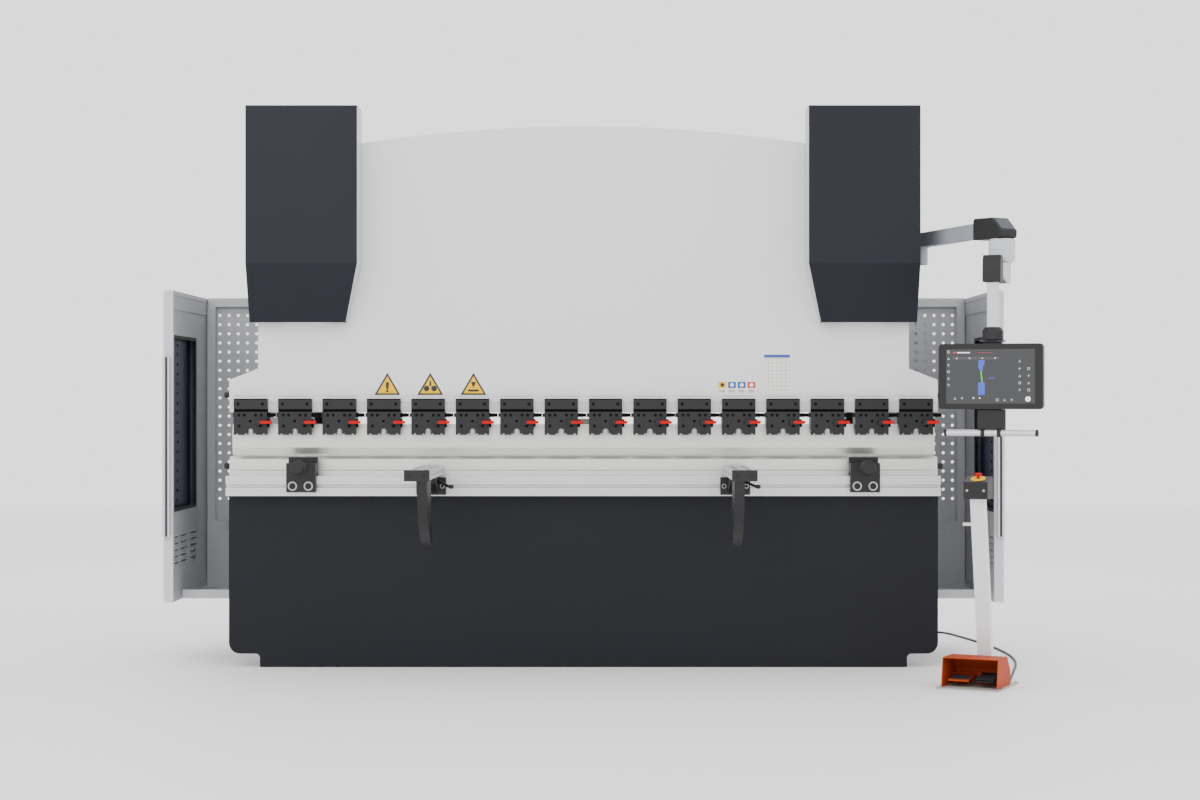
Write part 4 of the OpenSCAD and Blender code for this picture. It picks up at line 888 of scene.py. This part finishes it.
def makeSwivel():
    s = consoleSet
    x, y = s["swivel"][0] * mm, s["swivel"][1] * mm
    bm = bmesh.new()
    addLathe(bm, [(0, 1.7886), (0.036, 1.7886), (0.048, 1.792), (0.0545, 1.801), (0.0555, 1.812),
                  (0.0555, 1.8385), (0.054, 1.8395), (0.054, 1.8420), (0.0555, 1.8430), (0.0555, 1.882),
                  (0.0535, 1.888), (0.046, 1.8916), (0, 1.8916)], Matrix.Translation((x, y, 0)), 48)
    drum = finishPiece("swivelDrum", toMesh(bm, "swivelDrum"), finishes["lightPowder"], "swivel",
                       smooth=True)
    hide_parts("swivel_head")
    fork = planMatrix(s["swivel"], s["stem"])
    bm = bmesh.new()
    for side in (left, right):
        addPrism(bm, [(-0.026, 1.7895), (0.030, 1.7895), (0.150, 1.780), (0.168, 1.770), (0.168, 1.735),
                      (0.020, 1.700), (-0.018, 1.700), (-0.026, 1.708)], 0.010,
                 sideways(fork @ Matrix.Translation((0, side * 0.028, 0)), 0.010))
    finishPiece("swivelFork", toMesh(bm, "swivelFork"), finishes["lightPowder"], "swivel",
                0.0015)
    bm = bmesh.new()
    addBox(bm, (-0.020, -0.022, 1.702), (0.150, 0.022, 1.712), fork)
    addBox(bm, (-0.012, -0.022, 1.712), (0.000, 0.022, 1.788), fork)
    profile = [(-0.036, 1.6985), (-0.028, 1.796), (-0.020, 1.812), (0.024, 1.812), (0.036, 1.790),
               (0.040, 1.745), (0.040, 1.6985)]
    stem = yawed(s["stem"], s["yaw"])
    addPrism(bm, profile, 0.076, sideways(stem @ Matrix.Rotation(math.radians(-90), 4, "Z"), 0.076))
    finishPiece("stemKnuckle", toMesh(bm, "stemKnuckle"), finishes["blackNylon"], "swivel",
                0.004, 3)


def makePendant():
    s = consoleSet
    place = yawed(s["stem"], s["yaw"])
    bm = bmesh.new()
    low, high = (z * mm for z in s["stemZ"])
    addPrism(bm, roundRect(0.046, 0.040, 0.005), high - low, place @ Matrix.Translation((0, 0, low)))
    stem = finishPiece("stemTube", toMesh(bm, "stemTube"), finishes["anodisedPost"], "pendant")
    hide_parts("pendant_tube")
    bm = bmesh.new()
    addLathe(bm, [(0, 1.4555), (0.044, 1.4555), (0.046, 1.459), (0.046, 1.495), (0.034, 1.511),
                  (0.025, 1.5115), (0, 1.5115)], place @ Matrix.Rotation(math.radians(22.5), 4, "Z"), 8)
    addBox(bm, (-0.038, -0.0195, 1.100), (0.038, 0.012, 1.4555), place)
    addBox(bm, (-0.058, -0.046, 1.082), (0.058, -0.0195, 1.168), place)
    # housing behind the screen, with its cooling ribs
    addPrism(bm, roundRect(0.340, 0.190, 0.012, (0, 1.3049)), 0.020, place @ facingFront(0, -0.0005, 0))
    for k in range(9):
        addBox(bm, (-0.130 + 0.030 * k, -0.002, 1.225), (-0.120 + 0.030 * k, 0.0035, 1.295), place)
    finishPiece("pendantHousing", toMesh(bm, "pendantHousing"), finishes["blackNylon"], "pendant",
                0.003, 3)
    bm = bmesh.new()
    addPrism(bm, roundRect(0.104, 0.060, 0.008), 0.006, place @ Matrix.Translation((0, 0, 1.4498)))
    finishPiece("flangePlate", toMesh(bm, "flangePlate"), finishes["darkPowder"], "pendant",
                0.0015)
    # end caps and saddle clips of the hand bar
    bm = bmesh.new()
    for side in (left, right):
        addLathe(bm, [(0, 0), (0.0128, 0), (0.0143, 0.001), (0.0143, 0.010), (0.0137, 0.011)], place
                 @ turned((side * 0.1955, -0.045, 1.0699), "Y", -90 * side), 28)
        addLathe(bm, [(0.0136, 0), (0.0175, 0), (0.0175, 0.016), (0.0136, 0.016), (0.0136, 0)], place
                 @ turned((side * 0.026, -0.045, 1.0699), "Y", 90 * side), 28)
    finishPiece("barCaps", toMesh(bm, "barCaps"), finishes["blackNylon"], "pendant",
                smooth=True)


def makeDisplay():
    # the picture on the screen: a plain bending view with unlettered buttons
    s = consoleSet
    w, h = s["display"][0] * mm, s["display"][1] * mm
    place = yawed(s["stem"], s["yaw"], s["screenZ"] * mm) @ facingFront(0, s["screenY"] * mm, 0)
    layers = {key: bmesh.new() for key in ("Dark", "Bar", "Blue", "Green", "Grey", "Red", "White")}

    def patch(key, points, level):
        outline = [((u - 0.5) * w, (v - 0.5) * h) for u, v in points]
        addPrism(layers[key], outline, 0.0003, place @ Matrix.Translation((0, 0, 0.0004 + 0.0003 * level)))

    def icon(u, v, kind):
        du, dv = 0.014, 0.023
        if kind % 3 == 0:
            patch("Grey", rectangle(u - du, v - dv, u + du, v + dv), 1)
            patch("Dark", rectangle(u - du * 0.6, v - dv * 0.6, u + du * 0.6, v + dv * 0.6), 2)
        elif kind % 3 == 1:
            patch("Grey", [(u - du, v - dv), (u + du, v - dv), (u, v + dv)], 1)
            patch("Dark", [(u - du * 0.5, v - dv * 0.6), (u + du * 0.5, v - dv * 0.6), (u, v + dv * 0.3)],
                  2)
        else:
            patch("Grey", rectangle(u - du, v - dv * 0.22, u + du, v + dv * 0.22), 1)
            patch("Grey", rectangle(u - du * 0.22, v - dv, u + du * 0.22, v + dv), 1)

    addPrism(layers["Dark"], roundRect(w, h, 0.002), 0.0005, place)
    patch("Red", rectangle(0.075, 0.925, 0.115, 0.955), 1)
    patch("White", rectangle(0.125, 0.930, 0.270, 0.948), 1)
    patch("Red", rectangle(0.360, 0.934, 0.520, 0.942), 1)
    patch("Bar", rectangle(0.070, 0.810, 0.600, 0.860), 1)
    for u in (0.120, 0.265, 0.410, 0.555):
        patch("White", rectangle(u - 0.006, 0.825, u + 0.006, 0.845), 2)
    patch("Blue", [(0.365, 0.80), (0.365, 0.66), (0.388, 0.60), (0.412, 0.60), (0.420, 0.70), (0.435, 0.72),
                   (0.435, 0.80)], 1)
    patch("Green", [(0.388, 0.60), (0.402, 0.60), (0.416, 0.38), (0.402, 0.38)], 2)
    patch("Blue", [(0.362, 0.16), (0.438, 0.16), (0.438, 0.39), (0.416, 0.39), (0.408, 0.36), (0.400, 0.39),
                   (0.362, 0.39)], 1)
    patch("Blue", rectangle(0.480, 0.462, 0.555, 0.474), 1)
    for k in range(6):
        icon(0.026, 0.955 - 0.122 * k, k)
    buttons = ((0.83, 0.78), (0.83, 0.64), (0.93, 0.64), (0.83, 0.51), (0.93, 0.51), (0.83, 0.38),
               (0.93, 0.38), (0.83, 0.25), (0.93, 0.25), (0.10, 0.10), (0.18, 0.10), (0.58, 0.07),
               (0.66, 0.07), (0.74, 0.07))
    for k, (u, v) in enumerate(buttons):
        icon(u, v, k + 1)
    for u in (0.31, 0.38):
        patch("White", rectangle(u - 0.007, 0.09, u + 0.007, 0.115), 1)
    disc = circle(0, 0, 1, 24)
    patch("White", [(0.922 + 0.030 * a, 0.085 + 0.049 * b) for a, b in disc], 1)
    patch("Dark", rectangle(0.916, 0.075, 0.928, 0.095), 2)
    for key, bm in layers.items():
        finishPiece("display" + key, toMesh(bm, "display" + key), finishes["screen" + key], "pendant")


for side in (left, right):
    makeStopAndArm(side)
makeBoom()
makeSwivel()
makePendant()
makeDisplay()
print("stage: stops, arms and console dressed")


# clamps: a dark packing above each jaw, painted shade standing in for the shaded groove between the upper
# block and the jaw plate; the stop block beside it and the plate behind its lever, all in the painted shadow
# black
jawSet = {"count": 16, "pitch": 200, "grooveShade": (-75, 75, 1153.8, 1166.2), "block": (68, 113, 1131, 1147),
          "backing": (64, 85, 1085, 1121)}

def makeJawFittings():
    s = jawSet
    bm = bmesh.new()
    first = -(s["count"] - 1) * s["pitch"] / 2
    for k in range(s["count"]):
        x = first + k * s["pitch"]
        for key, front, back in (("grooveShade", -0.070, -0.042), ("block", -0.0655, -0.052),
                                 ("backing", -0.0690, -0.060)):
            x0, x1, z0, z1 = s[key]
            addBox(bm, ((x + x0) * mm, front, z0 * mm), ((x + x1) * mm, back, z1 * mm))
    finishPiece("jawFittings", toMesh(bm, "jawFittings"), finishes["paintedShadowBlack"], "ram",
                0.0008)


# foot switch: treads, yellow disc, cord sleeve and screws
pedalSet = {"origin": (1660, -730), "yaw": -25, "hinge": (62, 46), "width": 88, "reach": 54,
            "headTop": 874.8, "headY": 35, "discTilt": 17, "gland": (86, 120, 30)}

def makeFootSwitch():
    s = pedalSet
    stand = yawed(s["origin"], s["yaw"])
    hingeY, hingeZ = s["hinge"][0] * mm, s["hinge"][1] * mm

    def topZ(y):
        # height of the pedal's upper face at a distance in front of its hinge
        return hingeZ + 0.005 - 0.0818 * y if y < 0.110 else hingeZ - 0.004 - 0.2 * (y - 0.110)

    for side in (left, right):
        bm = bmesh.new()
        x0 = (side * s["reach"] - s["width"] / 2 + 4) * mm
        width = (s["width"] - 8) * mm
        start = 0.062 if side == left else 0.022
        for k in range(int((0.134 - start) / 0.009)):
            y = start + 0.009 * k
            low, high = topZ(y) - 0.0006, topZ(y + 0.006) - 0.0006
            addPrism(bm, [(hingeY - y, low), (hingeY - y, low + 0.0030),
                          (hingeY - y - 0.006, high + 0.0030), (hingeY - y - 0.006, high)], width, stand
                     @ facingSide(x0, 0, 0, 1))
        finishPiece("treadPedal" + sideName[side].capitalize(), toMesh(bm, "tread"),
                    finishes["treadRubber"], "pedal_" + sideName[side], 0.0006)
    bm = bmesh.new()
    tilt = turned((0, s["headY"] * mm, s["headTop"] * mm), "X", s["discTilt"])
    addLathe(bm, [(0.0078, -0.001), (0.0315, -0.001), (0.0315, 0.0016), (0.0305, 0.0024), (0.0078, 0.0024),
                  (0.0078, -0.001)], stand @ tilt, 40)
    finishPiece("estopDisc", toMesh(bm, "estopDisc"), finishes["labelYellow"], "machine")
    # ribbed sleeve where the cord leaves the housing
    x, y, z = s["gland"]
    bm = bmesh.new()
    ribs = [(0.0062, -0.002)]
    for k in range(8):
        ribs += [(0.0098 - 0.0003 * k, 0.0052 * k), (0.0098 - 0.0003 * k, 0.0052 * k + 0.0028),
                 (0.0080 - 0.0002 * k, 0.0052 * k + 0.0030), (0.0080 - 0.0002 * k, 0.0052 * k + 0.0050)]
    ribs += [(0.0058, 0.0410), (0.0058, -0.002)]
    lean = turned((x * mm, y * mm - 0.001, z * mm), "X", -98)
    addLathe(bm, ribs, stand @ lean, 20)
    finishPiece("cordSleeve", toMesh(bm, "cordSleeve"), finishes["lightPowder"], "machine")
    bm = bmesh.new()
    screw = [(0, 0.0015), (0.0026, 0.0015), (0.003, 0.004), (0.0052, 0.004), (0.0058, 0.003),
             (0.0058, -0.001), (0, -0.001)]
    for px, py in ((-126, -50), (126, -50), (-126, 180), (126, 180)):
        addLathe(bm, screw, stand @ Matrix.Translation((px * mm, py * mm, 0.006)), 16)
    for px in (-36, 36):
        addLathe(bm, screw, stand @ facingFront(px * mm, -0.007, 0.826), 16)
    finishPiece("baseScrews", toMesh(bm, "baseScrews"), finishes["turnedSteel"], "machine")


# rear: motor fins, lid bolts, filler, sight glass, door lock and vents
rearSet = {"doorY": 1261, "motorY": 700, "boltY": (520, 880), "boltX0": -1150, "boltPitch": 230, "bolts": 11}

def makeRear():
    s = rearSet
    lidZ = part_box("tank_lid")[1].z
    motor = Matrix.Translation((0, s["motorY"] * mm, lidZ))
    bm = bmesh.new()
    for k in range(30):
        turn = Matrix.Rotation(2 * math.pi * (k + 0.5) / 30, 4, "Z")
        addBox(bm, (0.108, -0.0015, 0.086), (0.121, 0.0015, 0.194), motor @ turn)
    for k in range(12):
        turn = Matrix.Rotation(2 * math.pi * k / 12, 4, "Z")
        addBox(bm, (0.030, -0.003, 0.2405), (0.090, 0.003, 0.2425), motor @ turn)
    addLathe(bm, [(0, 0.2405), (0.026, 0.2405), (0.026, 0.2435), (0, 0.2435)], motor, 24)
    finishPiece("motorFins", toMesh(bm, "motorFins"), finishes["darkPowder"], "machine",
                0.0005)
    bolts, glass = bmesh.new(), bmesh.new()
    for i in range(s["bolts"]):
        for y in s["boltY"]:
            x = s["boltX0"] + s["boltPitch"] * i
            addLathe(bolts, [(0, 0.0055), (0.007, 0.0055), (0.0078, 0.0045), (0.0078, -0.001), (0, -0.001)],
                     Matrix.Translation((x * mm, y * mm, lidZ)), 6)
    addLathe(bolts, [(0, -0.001), (0.052, -0.001), (0.052, 0.012), (0.040, 0.014), (0.040, 0.055),
                     (0.046, 0.057), (0.046, 0.083), (0.042, 0.088), (0, 0.088)],
             Matrix.Translation((0.72, 0.70, lidZ)), 40)
    finishPiece("tankFittings", toMesh(bolts, "tankFittings"), finishes["turnedSteel"], "machine")
    addPrism(glass, roundRect(0.022, 0.200, 0.010, (0, 2.075)), 0.012, Matrix.Rotation(math.pi, 4, "Z")
             @ facingFront(0.95, -0.8995, 0))
    finishPiece("sightGlass", toMesh(glass, "sightGlass"), finishes["tintedAcrylic"], "machine",
                0.001)
    doorBack = Matrix.Rotation(math.pi, 4, "Z") @ facingFront(0, -s["doorY"] * mm, 0)
    bm = bmesh.new()
    for row in range(8):
        for column in (-1.600, -1.490):
            addPrism(bm, roundRect(0.090, 0.008, 0.0035, (column, 1.40 + 0.020 * row), 3), 0.003, doorBack
                     @ Matrix.Translation((0, 0, -0.0005)))
    finishPiece("cabinetVents", toMesh(bm, "cabinetVents"), finishes["lightPowder"], "cabinet_door",
                0.0008)
    bm = bmesh.new()
    addPrism(bm, roundRect(0.030, 0.150, 0.014, (-1.318, 1.05)), 0.006, doorBack)
    addPrism(bm, roundRect(0.020, 0.120, 0.009, (-1.318, 1.04)), 0.018, doorBack)
    addLathe(bm, [(0, 0), (0.011, 0), (0.011, 0.009), (0.009, 0.010), (0, 0.010)], doorBack
             @ Matrix.Translation((-1.318, 1.112, 0)), 20)
    finishPiece("cabinetLock", toMesh(bm, "cabinetLock"), finishes["blackNylon"], "cabinet_door",
                0.001)


def makeScreenPlugs():
    # three small plugs on the top edge of the screen at the console end
    bm = bmesh.new()
    for x in (1.530, 1.562, 1.594):
        addLathe(bm, [(0, -0.001), (0.010, -0.001), (0.010, 0.006), (0.0075, 0.007), (0.0075, 0.018),
                      (0.006, 0.0245), (0, 0.0245)], Matrix.Translation((x, 0.917, 1.710)), 20)
    finishPiece("screenPlugs", toMesh(bm, "screenPlugs"), finishes["lightPowder"], "machine")


makeJawFittings()
makeFootSwitch()
makeScreenPlugs()
makeRear()
print("stage: jaws, foot switch and rear dressed")


# floor and light

lightSet = {"world": 1.9, "key": 150, "fill": 45, "back": 100}

def setStudio():
    bm = bmesh.new()
    addBox(bm, (-14, -16, -0.02), (14, 14, 0))
    floor = bpy.data.objects.new("floor", toMesh(bm, "floor"))
    bpy.context.collection.objects.link(floor)
    # matt seamless studio paper, very pale grey
    material, _, shader = newFinish("paleFloor")
    shader.inputs["Base Color"].default_value = linear("#f2f2f2")
    shader.inputs["Roughness"].default_value = 0.6
    floor.data.materials.append(material)
    world = bpy.data.worlds.new("studio")
    bpy.context.scene.world = world
    world.use_nodes = True
    background = world.node_tree.nodes["Background"]
    background.inputs["Color"].default_value = (1, 1, 1, 1)
    background.inputs["Strength"].default_value = lightSet["world"]
    lamps = {"key": ((-3.0, -7.5, 5.0), (50, 0, -20), 5.0, lightSet["key"]),
             "fill": ((4.5, -6.5, 3.4), (60, 0, 35), 4.0, lightSet["fill"]),
             "back": ((0, 5.5, 5.5), (-48, 0, 0), 5.0, lightSet["back"])}
    for name, (place, angles, size, power) in lamps.items():
        lamp = bpy.data.lights.new(name, "AREA")
        lamp.shape, lamp.size, lamp.energy = "SQUARE", size, power
        holder = bpy.data.objects.new(name, lamp)
        holder.location = place
        holder.rotation_euler = [math.radians(a) for a in angles]
        bpy.context.collection.objects.link(holder)


setStudio()


print("stage: done")
